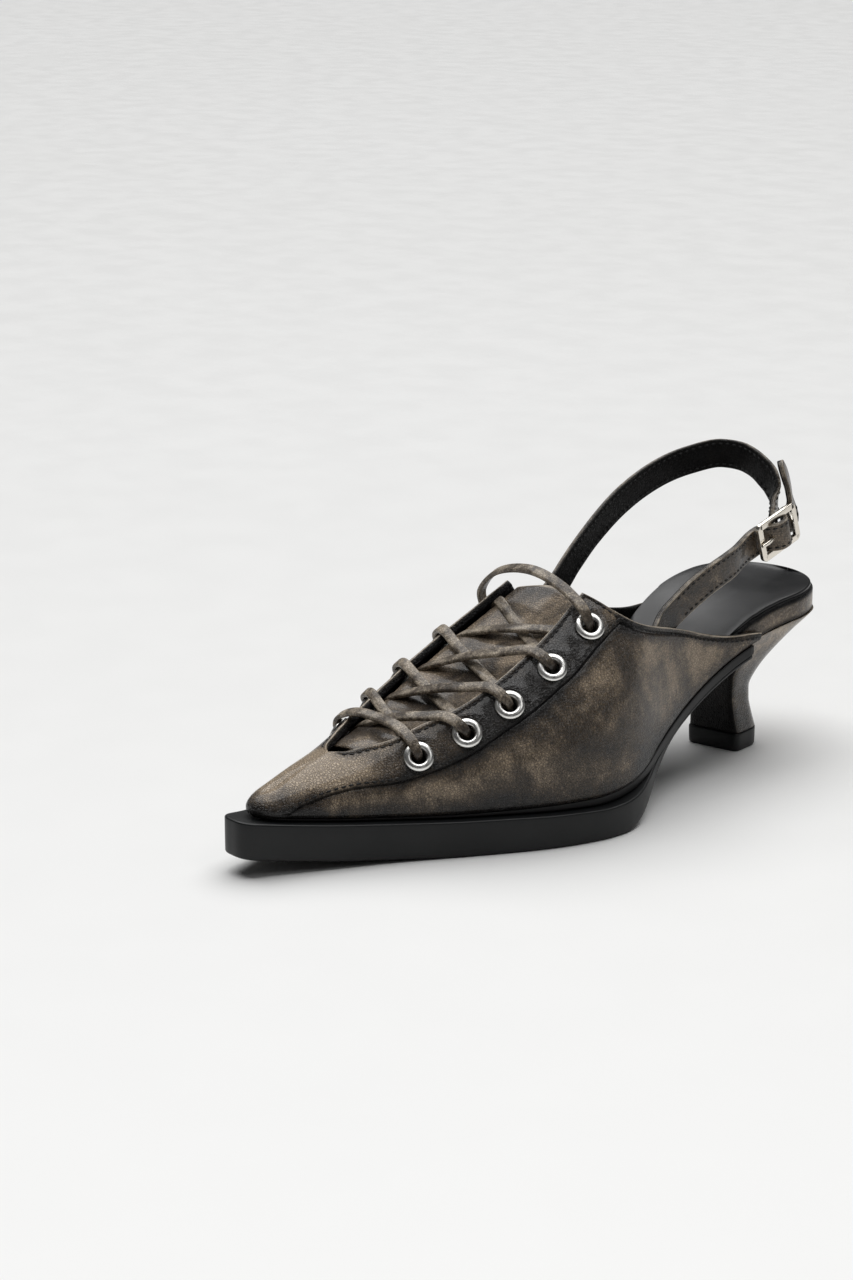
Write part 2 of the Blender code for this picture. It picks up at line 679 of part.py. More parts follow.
def smooth_route(points, count):
    # Even steps on a smooth curve through the points
    spans = np.concatenate([[0], np.cumsum([(b - a).length for a, b in zip(points, points[1:])])])
    rows = {"along": spans / spans[-1]}
    for axis in range(3):
        rows[axis] = np.array([p[axis] for p in points])
    return [Vector([follow(rows, axis, i / (count - 1)) for axis in range(3)]) for i in range(count)]


def strap_sides(route):
    # The strap stands on edge: its width leans with the route and its faces look sideways
    normals = []
    for i in range(len(route)):
        ahead = route[min(i + 1, len(route) - 1)] - route[max(i - 1, 0)]
        ahead.normalize()
        up = Vector((0, 0, 1)) - ahead * ahead.z
        normals.append(up.cross(ahead).normalized())
    return normals


def seated(normals, route, side, last):
    # Inside the upper the strap lies flat on the leaning wall
    out = []
    for i, normal in enumerate(normals):
        at = route[i].y / SHOE_LENGTH
        turn = min(turn_of_height(side, at, route[i].z - feather(at)), top_turn(side, at))
        share = 1 - ease(i, last / 2, last)
        lean = skin_normal(side, at, turn) if share > 0 else normal
        facing = 1 if lean.dot(normal) > 0 else -1
        out.append((normal * (1 - share) + lean * facing * share).normalized())
    return out


def buckle_frame_axes():
    y, x, z = BUCKLE_AT
    middle = Vector((BALL_WIDTH * x, SHOE_LENGTH * y, HEEL_HEIGHT * z))
    ahead = Vector(BUCKLE_AIM).normalized()
    up = (Vector((0, 0, 1)) - ahead * ahead.z).normalized()
    return middle, ahead, up, ahead.cross(up)


def buckle_pose():
    middle, ahead, up, out = buckle_frame_axes()
    pose = Matrix((ahead, up, out)).transposed().to_4x4()
    pose.translation = middle
    return pose


def strap_width():
    return min(STRAP_WIDTH, BUCKLE_WIDTH - 2 * BUCKLE_WIRE - 2 * GAP)


def sling_strap(parent):
    middle, ahead, up, out = buckle_frame_axes()
    points = strap_points(SLING, "medial")
    lie = BUCKLE_WIRE / 2 + GAP + STRAP_THICK / 2
    points.append(middle + ahead * (BUCKLE_LENGTH * .52) - out * (lie + 4.4 * STRAP_THICK))
    points.append(middle + ahead * (BUCKLE_WIRE * 1.0) - out * (lie + 1.2 * STRAP_THICK))
    route = smooth_route(points, 36)
    normals = seated(strap_sides(route), route, "medial", 12)
    return piece("sling_strap", "leather", *strip(route, normals, strap_width(), STRAP_THICK), parent)


def billet_strap(parent):
    middle, ahead, up, out = buckle_frame_axes()
    reach = (BUCKLE_LENGTH - BUCKLE_WIRE) / 2
    lie = BUCKLE_WIRE / 2 + 3 * GAP + .7 * STRAP_THICK
    points = strap_points(BILLET, "lateral")
    points.append(middle - ahead * (reach + BUCKLE_WIRE) - out * lie)
    points.append(middle - ahead * (reach - BUCKLE_WIRE) - out * lie)
    points.append(middle - ahead * BUCKLE_BAR * .6 + out * (lie - .2 * MM))
    points.append(middle + ahead * BUCKLE_BAR * .6 + out * (lie - .2 * MM))
    points.append(middle + ahead * (reach - BUCKLE_WIRE) - out * lie)
    points.append(middle + ahead * (reach + BUCKLE_WIRE * .6) - out * lie)
    points += strap_points(FREE_END)
    route = smooth_route(points, 44)
    normals = seated(strap_sides(route), route, "lateral", 13)
    aim = Vector((math.cos(FREE_TURN), math.sin(FREE_TURN), 0))
    for i, point in enumerate(route):
        # Flat in the buckle's plane, then the free end turns about the upright towards the heel
        inside = ease((point - middle).dot(ahead), -reach - 3 * BUCKLE_WIRE, -reach)
        free = ease(i, len(route) - 6, len(route) - 1)
        normals[i] = (normals[i] * (1 - inside) + out * inside).lerp(aim, free).normalized()
    made = piece("billet_strap", "leather", *strip(route, normals, strap_width(), STRAP_THICK), parent)
    slot = box("prong_slot", (PRONG_SLOT, PRONG_WIRE + 4 * GAP, 4 * BUCKLE_WIRE), parent)
    slot.matrix_local = buckle_pose() @ Matrix.Translation((-.52 * reach, 0, 0))
    cut(made, slot, "DIFFERENCE")
    return made


def ring_bar(half_long, half_wide, wire):
    # Rectangular ring with a square wire and small corners, flat in the XY plane
    points = []
    faces = []
    corner = 1.2 * MM
    loops = []
    for grow in (-wire / 2, wire / 2):
        loop = []
        for sx, sy, first in ((1, 1, 0), (-1, 1, 90), (-1, -1, 180), (1, -1, 270)):
            for i in range(3):
                a = math.radians(first + 45 * i)
                r = max(corner + grow, .2 * MM)
                x = sx * (half_long - corner) + r * math.cos(a)
                y = sy * (half_wide - corner) + r * math.sin(a)
                loop.append((x, y))
        loops.append(loop)
    count = len(loops[0])
    inside, outside = loops
    half = wire / 2
    for z, loop in ((-half, inside), (-half, outside), (half, outside), (half, inside)):
        points += [Vector((x, y, z)) for x, y in loop]
    for ring in range(4):
        after = (ring + 1) % 4
        for j in range(count):
            k = (j + 1) % count
            faces.append((ring * count + j, ring * count + k, after * count + k, after * count + j))
    return points, faces


def box(name, size, parent):
    made = bmesh.new()
    bmesh.ops.create_cube(made, size=1)
    bmesh.ops.scale(made, vec=size, verts=made.verts)
    return tool(name, made, parent)


def tool(name, made, parent):
    # A cutter or a joined form, which is no piece of its own
    mesh = bpy.data.meshes.new(name)
    made.to_mesh(mesh)
    made.free()
    out = bpy.data.objects.new(name, mesh)
    bpy.context.collection.objects.link(out)
    out.parent = parent
    out.hide_render = True
    out.display_type = "WIRE"
    return out


def cut(target, other, operation):
    step = target.modifiers.new(other.name, "BOOLEAN")
    step.operation = operation
    step.solver = "EXACT"
    step.object = other


def buckle(parent):
    pose = buckle_pose()
    wire = BUCKLE_WIRE
    ring = ring_bar((BUCKLE_LENGTH - wire) / 2, (BUCKLE_WIDTH - wire) / 2, wire)
    frame = piece("buckle_frame", "nickel", *ring, parent)
    frame.matrix_local = pose
    bar = bmesh.new()
    bmesh.ops.create_cone(bar, cap_ends=True, segments=10, radius1=BUCKLE_BAR / 2, radius2=BUCKLE_BAR / 2,
                          depth=BUCKLE_WIDTH - wire * .6)
    bmesh.ops.rotate(bar, verts=bar.verts, matrix=Matrix.Rotation(math.pi / 2, 3, "X"))
    middle_bar = tool("buckle_bar", bar, parent)
    middle_bar.matrix_local = pose
    cut(frame, middle_bar, "UNION")
    prong(parent)


def prong(parent):
    # From the middle bar through the billet to the outer face of the front bar
    reach = (BUCKLE_LENGTH - BUCKLE_WIRE) / 2
    half = PRONG_WIRE / 2
    seat = BUCKLE_WIRE / 2 + GAP + half
    route = [(-(BUCKLE_BAR / 2 + GAP + half), -.2 * half), (-.5 * reach, .45 * seat),
             (-.8 * reach, .95 * seat), (-reach, seat), (-reach - BUCKLE_WIRE * .6, seat)]
    rings = []
    for a, n in route:
        turns = np.linspace(0, 2 * math.pi, 9)[:-1]
        rings.append([Vector((a, half * math.cos(t), n + half * math.sin(t))) for t in turns])
    made = piece("buckle_prong", "nickel", *lofted(rings), parent)
    made.matrix_local = buckle_pose()


def build():
    for made in list(bpy.data.objects):
        bpy.data.objects.remove(made, do_unlink=True)
    shoe = bpy.data.objects.new("shoe", None)
    bpy.context.collection.objects.link(shoe)
    lateral, medial = np.max([half_widths(at, rim_reach(at)) for at in np.linspace(.3, .6, 301)], axis=0)
    shoe.location = (-(lateral - medial) / 2, -(SHOE_LENGTH - GAP) / 2, 0)
    outsole(shoe)
    midsole(shoe)
    footbed(shoe)
    sock_lining(shoe)
    heel_block(shoe)
    heel_top_piece(shoe)
    upper(shoe)
    tongue(shoe)
    for side in SIDES:
        for number in range(len(EYELETS["along"])):
            eyelet(side, number, shoe)
    lace_bar("lace_bar_bottom", 0, 1.8 * MM, shoe)
    lace_bar("lace_bar_top", len(EYELETS["along"]) - 1, 5.6 * MM, shoe)
    for number in range(len(EYELETS["along"]) - 1):
        lace_cross(number, shoe)
    sling_strap(shoe)
    billet_strap(shoe)
    buckle(shoe)


build()
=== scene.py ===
import math

import bmesh
import bpy
import numpy as np
from mathutils import Matrix, Vector


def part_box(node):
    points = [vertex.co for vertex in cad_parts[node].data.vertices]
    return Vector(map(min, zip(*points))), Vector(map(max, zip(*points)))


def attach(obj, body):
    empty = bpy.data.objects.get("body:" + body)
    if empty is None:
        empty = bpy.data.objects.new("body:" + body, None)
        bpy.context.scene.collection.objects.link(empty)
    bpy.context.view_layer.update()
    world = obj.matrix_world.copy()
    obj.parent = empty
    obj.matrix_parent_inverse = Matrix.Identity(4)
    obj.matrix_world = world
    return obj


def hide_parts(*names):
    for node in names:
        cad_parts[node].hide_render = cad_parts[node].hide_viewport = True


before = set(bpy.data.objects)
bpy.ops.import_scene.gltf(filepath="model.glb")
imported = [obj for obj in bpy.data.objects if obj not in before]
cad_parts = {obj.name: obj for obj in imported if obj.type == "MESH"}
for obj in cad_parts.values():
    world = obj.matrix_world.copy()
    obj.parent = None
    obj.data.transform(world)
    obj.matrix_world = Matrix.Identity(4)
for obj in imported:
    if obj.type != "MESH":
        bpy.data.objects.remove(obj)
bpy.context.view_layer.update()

# Lace up heel, left shoe. Lengths are in millimetres and measured from the toe tip: x to the outer
# side of the foot, y to the heel, z up from the floor. toWorld() turns them into the frame's metres.
# "along" is a share of the shoe's length, and "turn" an angle up from the upper's lower edge.
mm = 0.001
outer, inner = 1, -1  # the two sides of the shoe
rightAngle = math.pi / 2
tiny = 1e-9

shoe = {"length": 268, "ball": 90, "instep": 71, "heel": 52, "heelRound": 27, "toeSpring": 7,
        "toeRound": 7, "toeLean": 9, "leanOver": (.017, .16), "gap": 0.3}
bottom = {"platform": 12.6, "midsole": 3.4, "flange": 3.2, "toeFlange": 8, "soleTip": 7, "footbed": 8.3,
          "sock": 1.0, "topPiece": 7, "seatLength": 49, "seatWidth": 54, "heelTurn": 13, "flatAt": .300,
          "waist": (.5, .6), "waistThin": .3}
leather = {"wall": 2.0, "step": 0.6, "throatHalf": 24, "throatSag": 6.5, "sagOver": (.18, .32),
           "tongue": 1.6, "tongueCover": 4.2, "lip": 0.7}


def table(columns, *rows):
    return dict(zip(columns.split(), np.array(rows, float).T))


# half widths of the foot, as shares of the ball width
lastRows = table("along lateral medial",
                 (.00, .022, .022), (.026, .036, .036), (.052, .064, .059), (.093, .112, .100),
                 (.187, .224, .198), (.280, .356, .289), (.328, .422, .327), (.373, .476, .347),
                 (.418, .513, .349), (.463, .531, .336), (.500, .521, .313), (.530, .496, .293),
                 (.560, .456, .276), (.597, .396, .256), (.634, .347, .244), (.672, .307, .250),
                 (.709, .280, .270), (.746, .264, .298), (.802, .256, .336), (.858, .256, .358),
                 (.914, .256, .362), (1.00, .256, .362))
# shares of the toe's lift, of the climb to the heel and of each layer's thickness
levelRows = table("along spring rise midsole sole rim footbed",
                  (.000, 1.00, .000, .26, 2.0, 1.00, .26), (.037, .770, .000, .26, 2.0, 1.00, .26),
                  (.075, .570, .000, .26, 2.0, 1.00, .26), (.112, .400, .000, .26, 2.0, 1.00, .26),
                  (.149, .260, .000, .26, 2.0, 1.00, .26), (.187, .150, .000, .28, 2.0, 1.00, .26),
                  (.224, .070, .000, .30, 2.0, 1.00, .26), (.261, .015, .000, .33, 2.0, 1.00, .26),
                  (.300, .000, .000, .38, 2.0, 1.00, .26), (.400, .000, .000, .66, 2.0, 1.00, .26),
                  (.448, .000, .000, .80, 2.0, 1.00, .26), (.478, .000, .010, .88, 1.0, 1.00, .26),
                  (.500, .000, .026, .95, .90, .930, .26), (.526, .000, .055, 1.0, .80, .720, .26),
                  (.560, .000, .115, 1.0, .62, .350, .28), (.597, .000, .205, 1.0, .38, .100, .30),
                  (.634, .000, .310, 1.0, .20, .000, .33), (.672, .000, .425, 1.0, .143, .00, .38),
                  (.709, .000, .540, 1.0, .143, .00, .46), (.746, .000, .655, 1.0, .143, .00, .60),
                  (.784, .000, .765, 1.0, .143, .00, .80), (.828, .000, .870, 1.0, .143, .00, .97),
                  (.877, .000, .950, 1.0, .143, .00, 1.0), (.933, .000, .990, 1.0, .143, .00, 1.0),
                  (1.00, .000, 1.00, 1.0, .143, .00, 1.0))
# the line over the top of the foot, and how full the sides are under it
ridgeRows = table("along side height full",
                  (.040, .00, .048, .80), (.056, .00, .088, .80), (.078, .00, .130, .80),
                  (.112, .00, .199, .78), (.168, .00, .285, .75), (.224, .005, .393, .72),
                  (.280, .012, .503, .70), (.336, .020, .617, .70), (.392, .027, .741, .72),
                  (.448, .033, .870, .76), (.496, .035, .980, .80), (.560, .03, 1.12, .85),
                  (.672, .00, 1.30, .90), (.828, -.03, 1.36, 1.0), (1.0, -.03, 1.36, 1.0))
# the open half of the throat, the quarter's edge behind it, and the seam along the side
throatRows = table("along half",
                   (.152, .00), (.160, .14), (.182, .32), (.216, .55), (.251, .67), (.287, .83),
                   (.339, .96), (.401, 1.0), (.442, .97), (.482, .91), (.501, .90))
topLineRows = table("along height",
                    (.501, 1.0), (.511, .960), (.523, .906), (.537, .853), (.572, .745), (.610, .637),
                    (.640, .550), (.673, .448), (.720, .295), (.772, .150), (.830, .045))
seamRows = table("along height",
                 (.060, .00), (.074, .048), (.092, .079), (.119, .115), (.145, .139), (.201, .168),
                 (.244, .217), (.293, .293), (.334, .379), (.364, .439), (.411, .541), (.436, .593),
                 (.465, .661), (.495, .718), (.537, .770))
# the heel's section from its foot to the seat, as shares of the seat
heelRows = table("along front back side half turn",
                 (.00, .950, .560, -.01, .204, 1.), (.11, .955, .590, -.01, .194, .95),
                 (.29, .960, .630, 0, .178, .8), (.44, .970, .620, .000, .190, .6),
                 (.60, 1.00, .500, -.03, .265, .3), (.74, 1.00, .350, -.06, .352, .1),
                 (.88, 1.00, .180, -.08, .435, .0), (.96, 1.00, .075, -.088, .485, .0),
                 (1.0, 1.00, .035, -.088, .504, 0))


def follow(rows, column, along):  # smooth curve through a column
    s, v = rows["along"], rows[column]
    h = np.diff(s)
    d = np.diff(v) / h
    middle = (d[1:] * h[:-1] + d[:-1] * h[1:]) / (h[1:] + h[:-1])
    middle = np.where(d[1:] * d[:-1] <= 0, 0, middle)
    t = np.concatenate([[d[0]], middle, [d[-1]]])
    a = np.clip(along, s[0], s[-1])
    i = np.clip(np.searchsorted(s, a) - 1, 0, len(s) - 2)
    u = (a - s[i]) / h[i]
    return (v[i] * (1 + 2 * u) * (1 - u) ** 2 + h[i] * t[i] * u * (1 - u) ** 2
            + v[i + 1] * u * u * (3 - 2 * u) - h[i] * t[i + 1] * u * u * (1 - u))


def ease(value, low, high):
    t = np.clip((np.asarray(value, float) - low) / (high - low), 0, 1)
    return t * t * (3 - 2 * t)


def rounding(distance, radius, power=2.0):
    t = np.clip(np.asarray(distance, float) / radius, 0, 1)
    return (1 - (1 - t) ** power) ** (1 / power)


def hill(value, middle, spread, height=1.0):
    return height * np.exp(-((value - middle) / spread) ** 2)


def unit(v):
    return v / np.maximum(np.linalg.norm(v, axis=-1, keepdims=True), tiny)


def vec(*parts):
    return np.stack(np.broadcast_arrays(*[np.asarray(p, float) for p in parts]), -1)


def walkedAlong(points):  # the length walked to each point of a line
    return np.concatenate([[0], np.cumsum(np.linalg.norm(np.diff(points, axis=0), axis=1))])


def across(vectors, ahead):  # what is left of vectors at right angles to ahead
    return vectors - ahead * np.sum(vectors * ahead, 1, keepdims=True)


midsoleFront = bottom["midsole"] * follow(levelRows, "midsole", bottom["flatAt"])
forefoot = bottom["platform"] + 2 * shoe["gap"] + midsoleFront
breast = shoe["length"] - bottom["seatLength"]
throatStart, throatEnd = throatRows["along"][0], throatRows["along"][-1]
upperEnd = topLineRows["along"][-1]


def sideName(side):
    return "lateral" if side > 0 else "medial"


def halfWidth(side, along):
    return shoe["ball"] * follow(lastRows, sideName(side), along)


def rimReach(along):
    wall = leather["wall"] * (1 - bottom["waistThin"] * ease(along, *bottom["waist"]))
    return wall + bottom["flange"] * follow(levelRows, "rim", along)


soleLow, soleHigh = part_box("outsole")
ballAt = np.linspace(.3, .6, 301)
originX = soleHigh.x / mm - float(np.max(halfWidth(outer, ballAt) + rimReach(ballAt)))
originY = soleLow.y / mm


def toWorld(points):
    return (np.asarray(points, float) + (originX, originY, 0)) * mm


# levels of the layers
def feather(along):
    rise = (shoe["heel"] - forefoot) * follow(levelRows, "rise", along)
    return forefoot + shoe["toeSpring"] * follow(levelRows, "spring", along) + rise


def midsoleUnder(along):
    return feather(along) - shoe["gap"] - bottom["midsole"] * follow(levelRows, "midsole", along)


def soleTop(along):
    return midsoleUnder(along) - shoe["gap"]


def soleUnder(along):
    ground = shoe["toeSpring"] * follow(levelRows, "spring", along)
    return np.maximum(ground, soleTop(along) - bottom["platform"] * follow(levelRows, "sole", along))


def footbedTop(along):
    return feather(along) + bottom["footbed"] * follow(levelRows, "footbed", along)


# the upper's outer face
def lowEdge(side, along):
    y = along * shoe["length"]
    tip = rounding(y - bottom["toeFlange"], shoe["toeRound"], 2.3)
    return vec(side * (halfWidth(side, along) + leather["wall"]) * tip, y, feather(along))


def ridge(along):
    y = along * shoe["length"] + shoe["toeLean"] * (1 - ease(along, *shoe["leanOver"]))
    at = y / shoe["length"]
    height = feather(at) + shoe["instep"] * follow(ridgeRows, "height", at)
    return vec(shoe["ball"] * follow(ridgeRows, "side", at), y, height)


def skin(side, along, turn):  # turn is 0 at the lower edge and a right angle at the ridge
    low, high = lowEdge(side, along), ridge(along)
    swing = 1 - np.cos(turn)
    climb = np.maximum(np.sin(turn), 0) ** follow(ridgeRows, "full", along)
    return vec(low[..., 0] + (high[..., 0] - low[..., 0]) * swing,
               low[..., 1] + (high[..., 1] - low[..., 1]) * swing,
               low[..., 2] + (high[..., 2] - low[..., 2]) * climb)


slopeStep = {"turn": .004, "along": .002, "nearTip": .4, "least": 1e-5}  # steps that measure a slope


def skinNormal(side, along, turn):
    along, turn = np.broadcast_arrays(np.asarray(along, float), np.asarray(turn, float))
    below, above = np.maximum(turn - slopeStep["turn"], 0), np.minimum(turn + slopeStep["turn"], rightAngle)
    climb = skin(side, along, above) - skin(side, along, below)
    fromStart = along - bottom["toeFlange"] / shoe["length"]
    reach = np.clip(slopeStep["nearTip"] * fromStart, slopeStep["least"], slopeStep["along"])
    walk = skin(side, along + reach, turn) - skin(side, along - reach, turn)
    normal = unit(side * np.cross(walk, climb))
    start = unit(vec(0 * turn, -climb[..., 2], climb[..., 1]))
    normal = np.where((fromStart < slopeStep["least"])[..., None], start, normal)
    normal[..., 0] = np.where(turn > rightAngle - slopeStep["least"], 0, normal[..., 0])
    return unit(normal)


def shell(side, along, turn, lift):
    return skin(side, along, turn) + skinNormal(side, along, turn) * np.asarray(lift, float)[..., None]


knownArcs = {}  # walked lengths that are already worked out, by side and column


def arcTable(side, along):  # turns, and the length walked from the lower edge
    key = (side, round(float(along), 7))
    if key not in knownArcs:
        turns = np.linspace(0, rightAngle, 161)
        knownArcs[key] = turns, walkedAlong(skin(side, np.full_like(turns, along), turns))
    return knownArcs[key]


def turnOfHeight(along, height):
    rise = ridge(along)[..., 2] - feather(along)
    return np.arcsin(np.clip(height / rise, 0, 1) ** (1 / follow(ridgeRows, "full", along)))


def turnOfReach(side, along, reach):
    turns, walked = arcTable(side, along)
    return np.interp(walked[-1] - reach, walked, turns)


def throat(along):
    return leather["throatHalf"] * follow(throatRows, "half", along)


def over(along, reach, lift=0.0):  # places over the front, reach measured over the leather from the ridge
    reach = np.asarray(reach, float)
    openHalf = max(throat(min(along, throatEnd)), 1)
    sag = leather["throatSag"] * ease(along, *leather["sagOver"]) * np.maximum(1 - (reach / openHalf) ** 2, 0)
    both = [(side, along, turnOfReach(side, along, np.abs(reach))) for side in (outer, inner)]
    isOuter = (reach >= 0)[..., None]
    return (np.where(isOuter, *(shell(*place, lift - sag) for place in both)),
            np.where(isOuter, *(skinNormal(*place) for place in both)))


def topTurn(side, along):
    if along <= throatStart + tiny:
        return rightAngle
    if along <= throatEnd:
        return turnOfReach(side, along, throat(along))
    corner = turnOfReach(side, throatEnd, throat(throatEnd))
    height = skin(side, throatEnd, corner)[2] - feather(throatEnd)
    return float(turnOfHeight(along, height * follow(topLineRows, "height", along)))


seamLimits = {"lowest": .02, "belowTop": .93}


def seamTurn(side, along):
    height = shoe["instep"] * max(follow(seamRows, "height", along), seamLimits["lowest"])
    return min(float(turnOfHeight(along, height)), topTurn(side, along) * seamLimits["belowTop"])


def wallTurn(side, along, z):  # where the wall has the height z, or its top edge
    return min(float(turnOfHeight(along, z - feather(along))), topTurn(side, along))


def columnArcs(side, along):  # turns, walked lengths, and the lengths of the seam and the top edge
    turns, walked = arcTable(side, along)
    return (turns, walked, np.interp(seamTurn(side, along), turns, walked),
            np.interp(topTurn(side, along), turns, walked))


print("stage: materials")


# tools for the materials
def plug(tree, socket, value):  # links the socket, or sets its own value
    if isinstance(value, bpy.types.NodeSocket):
        tree.links.new(value, socket)
    elif socket.type == "RGBA" and len(value) == 3:
        socket.default_value = (*value, 1)
    else:
        socket.default_value = value


def addNode(tree, kind, settings=(), **inputs):
    node = tree.nodes.new(kind)
    for name, value in dict(settings).items():
        setattr(node, name, value)
    for name, value in inputs.items():
        plug(tree, node.inputs[name.replace("_", " ")], value)
    return node


def plugAll(tree, node, **inputs):
    for name, value in inputs.items():
        plug(tree, node.inputs[name.replace("_", " ")], value)


def calc(tree, operation, first, second=0.5, third=None, clamp=False):
    node = addNode(tree, "ShaderNodeMath", {"operation": operation, "use_clamp": clamp})
    for socket, value in zip(node.inputs, (first, second, third)):
        if value is not None:
            plug(tree, socket, value)
    return node.outputs[0]


def blendColor(tree, factor, first, second):
    node = addNode(tree, "ShaderNodeMix", {"data_type": "RGBA", "clamp_factor": True})
    for number, value in ((0, factor), (6, first), (7, second)):
        plug(tree, node.inputs[number], value)
    return node.outputs[2]


def mapRange(tree, value, low, high, toLow=0.0, toHigh=1.0):
    return addNode(tree, "ShaderNodeMapRange", {"interpolation_type": "SMOOTHSTEP"}, Value=value,
                   From_Min=low, From_Max=high, To_Min=toLow, To_Max=toHigh).outputs[0]


def readAttribute(tree, name):
    return addNode(tree, "ShaderNodeAttribute", {"attribute_name": name}).outputs["Fac"]


def startGroup(name, inputs, outputs):
    group = bpy.data.node_groups.new(name, "ShaderNodeTree")
    for label, kind, value in inputs:
        group.interface.new_socket(name=label, in_out="INPUT", socket_type=kind).default_value = value
    for label, kind in outputs:
        group.interface.new_socket(name=label, in_out="OUTPUT", socket_type=kind)
    return group, group.nodes.new("NodeGroupInput").outputs, group.nodes.new("NodeGroupOutput")


def objectPlace(tree):
    return addNode(tree, "ShaderNodeTexCoord").outputs["Object"]


def noise(tree, place, scale, detail=3.0, rough=0.55, distortion=0.0, output="Fac"):
    return addNode(tree, "ShaderNodeTexNoise", {}, Vector=place, Scale=scale, Detail=detail,
                   Roughness=rough, Distortion=distortion).outputs[output]


def bump(tree, height, strength, distance):
    return addNode(tree, "ShaderNodeBump", {}, Height=height, Strength=strength, Distance=distance).outputs[0]


def tinted(color, strength):
    return tuple(min(c * strength, 1) for c in color)


floatSocket, colorSocket = "NodeSocketFloat", "NodeSocketColor"
grainLook = {"bendScale": 420.0, "bend": .0014, "pebbleEdge": .28, "wrinkleScale": 260.0, "fineScale": 2600.0,
             "pebble": .62, "fine": .12}
finishLook = {"smallerBy": 4.2, "speckleScale": 1500.0, "smallPatch": .62, "patch": 1.7, "speckle": .55,
              "toMiddle": (.08, .52), "toLight": (.42, .95)}


def makeGrainGroup():  # pebbled leather: fine cells, a few longer wrinkles and open pores
    look = grainLook
    group, given, result = startGroup(
        "leatherGrain", (("Cell Scale", floatSocket, 1150.0), ("Wrinkle", floatSocket, 0.5)),
        (("Height", floatSocket), ("Crevice", floatSocket)))
    place = objectPlace(group)
    bend = noise(group, place, look["bendScale"], 3.0, .5, output="Color")
    warped = addNode(group, "ShaderNodeVectorMath", {"operation": "MULTIPLY_ADD"})
    for socket, value in zip(warped.inputs, (bend, (look["bend"],) * 3, place)):
        plug(group, socket, value)
    cells = addNode(group, "ShaderNodeTexVoronoi", {"feature": "DISTANCE_TO_EDGE"}, Vector=warped.outputs[0],
                    Scale=given["Cell Scale"])
    pebbles = mapRange(group, cells.outputs["Distance"], .0, look["pebbleEdge"])
    wrinkles = mapRange(group, noise(group, warped.outputs[0], look["wrinkleScale"], 5.0, .62, .6), .38, .62)
    height = calc(group, "MULTIPLY_ADD", wrinkles, given["Wrinkle"],
                  calc(group, "MULTIPLY", pebbles, look["pebble"]))
    height = calc(group, "MULTIPLY_ADD", noise(group, place, look["fineScale"], 2.0), look["fine"], height)
    plugAll(group, result, Height=height, Crevice=calc(group, "SUBTRACT", 1.0, pebbles, clamp=True))
    return group


def makeAntiqueGroup():  # hand-rubbed finish: dark base, bronze where it is rubbed through and where the tone input carries a painted highlight
    look = finishLook
    group, given, result = startGroup(
        "antiquedFinish",
        (("Tone", floatSocket, 0.5), ("Patchiness", floatSocket, 1.0), ("Patch Scale", floatSocket, 60.0),
         ("Dark", colorSocket, (.010, .009, .009, 1)), ("Middle", colorSocket, (.045, .034, .025, 1)),
         ("Light", colorSocket, (.17, .128, .085, 1))),
        (("Color", colorSocket), ("Rubbed", floatSocket)))
    place = objectPlace(group)
    smallScale = calc(group, "MULTIPLY", given["Patch Scale"], look["smallerBy"])
    clouds = ((noise(group, place, smallScale, 4.0, .6, .4), look["smallPatch"]),
              (noise(group, place, given["Patch Scale"], 4.0, .58, .5), look["patch"]),
              (noise(group, place, look["speckleScale"], 2.0, .7), look["speckle"]))
    lift = 0.0
    for cloud, share in clouds:
        lift = calc(group, "MULTIPLY_ADD", calc(group, "SUBTRACT", cloud, .5), share, lift)
    rubbedAndSheen = calc(group, "MULTIPLY_ADD", lift, given["Patchiness"], given["Tone"], clamp=True)
    color = blendColor(group, mapRange(group, rubbedAndSheen, *look["toMiddle"]), given["Dark"], given["Middle"])
    color = blendColor(group, mapRange(group, rubbedAndSheen, *look["toLight"]), color, given["Light"])
    plugAll(group, result, Color=color, Rubbed=rubbedAndSheen)
    return group


grainGroup, antiqueGroup = makeGrainGroup(), makeAntiqueGroup()


def startMaterial(name):
    made = bpy.data.materials.new(name)
    made.use_nodes = True
    return made, made.node_tree, made.node_tree.nodes["Principled BSDF"]


# edge is the light colour of worn edges and of the painted highlights on the flap's lip and the lace edges
leatherLook = {"dark": (.0060, .0044, .0036), "middle": (.074, .052, .032), "light": (.43, .33, .225),
               "edge": (.46, .39, .30), "ink": (.0045, .0045, .0048), "bump": .00050, "grain": 1050.0,
               "wrinkle": .38, "crevice": .5, "creviceRough": .12, "edgeScale": 190.0, "edgeNoise": .9,
               "edgeFrom": (.95, 1.4), "coat": .34, "coatRough": .14, "shine": .40, "inkCoat": .02,
               "inkShine": .12}


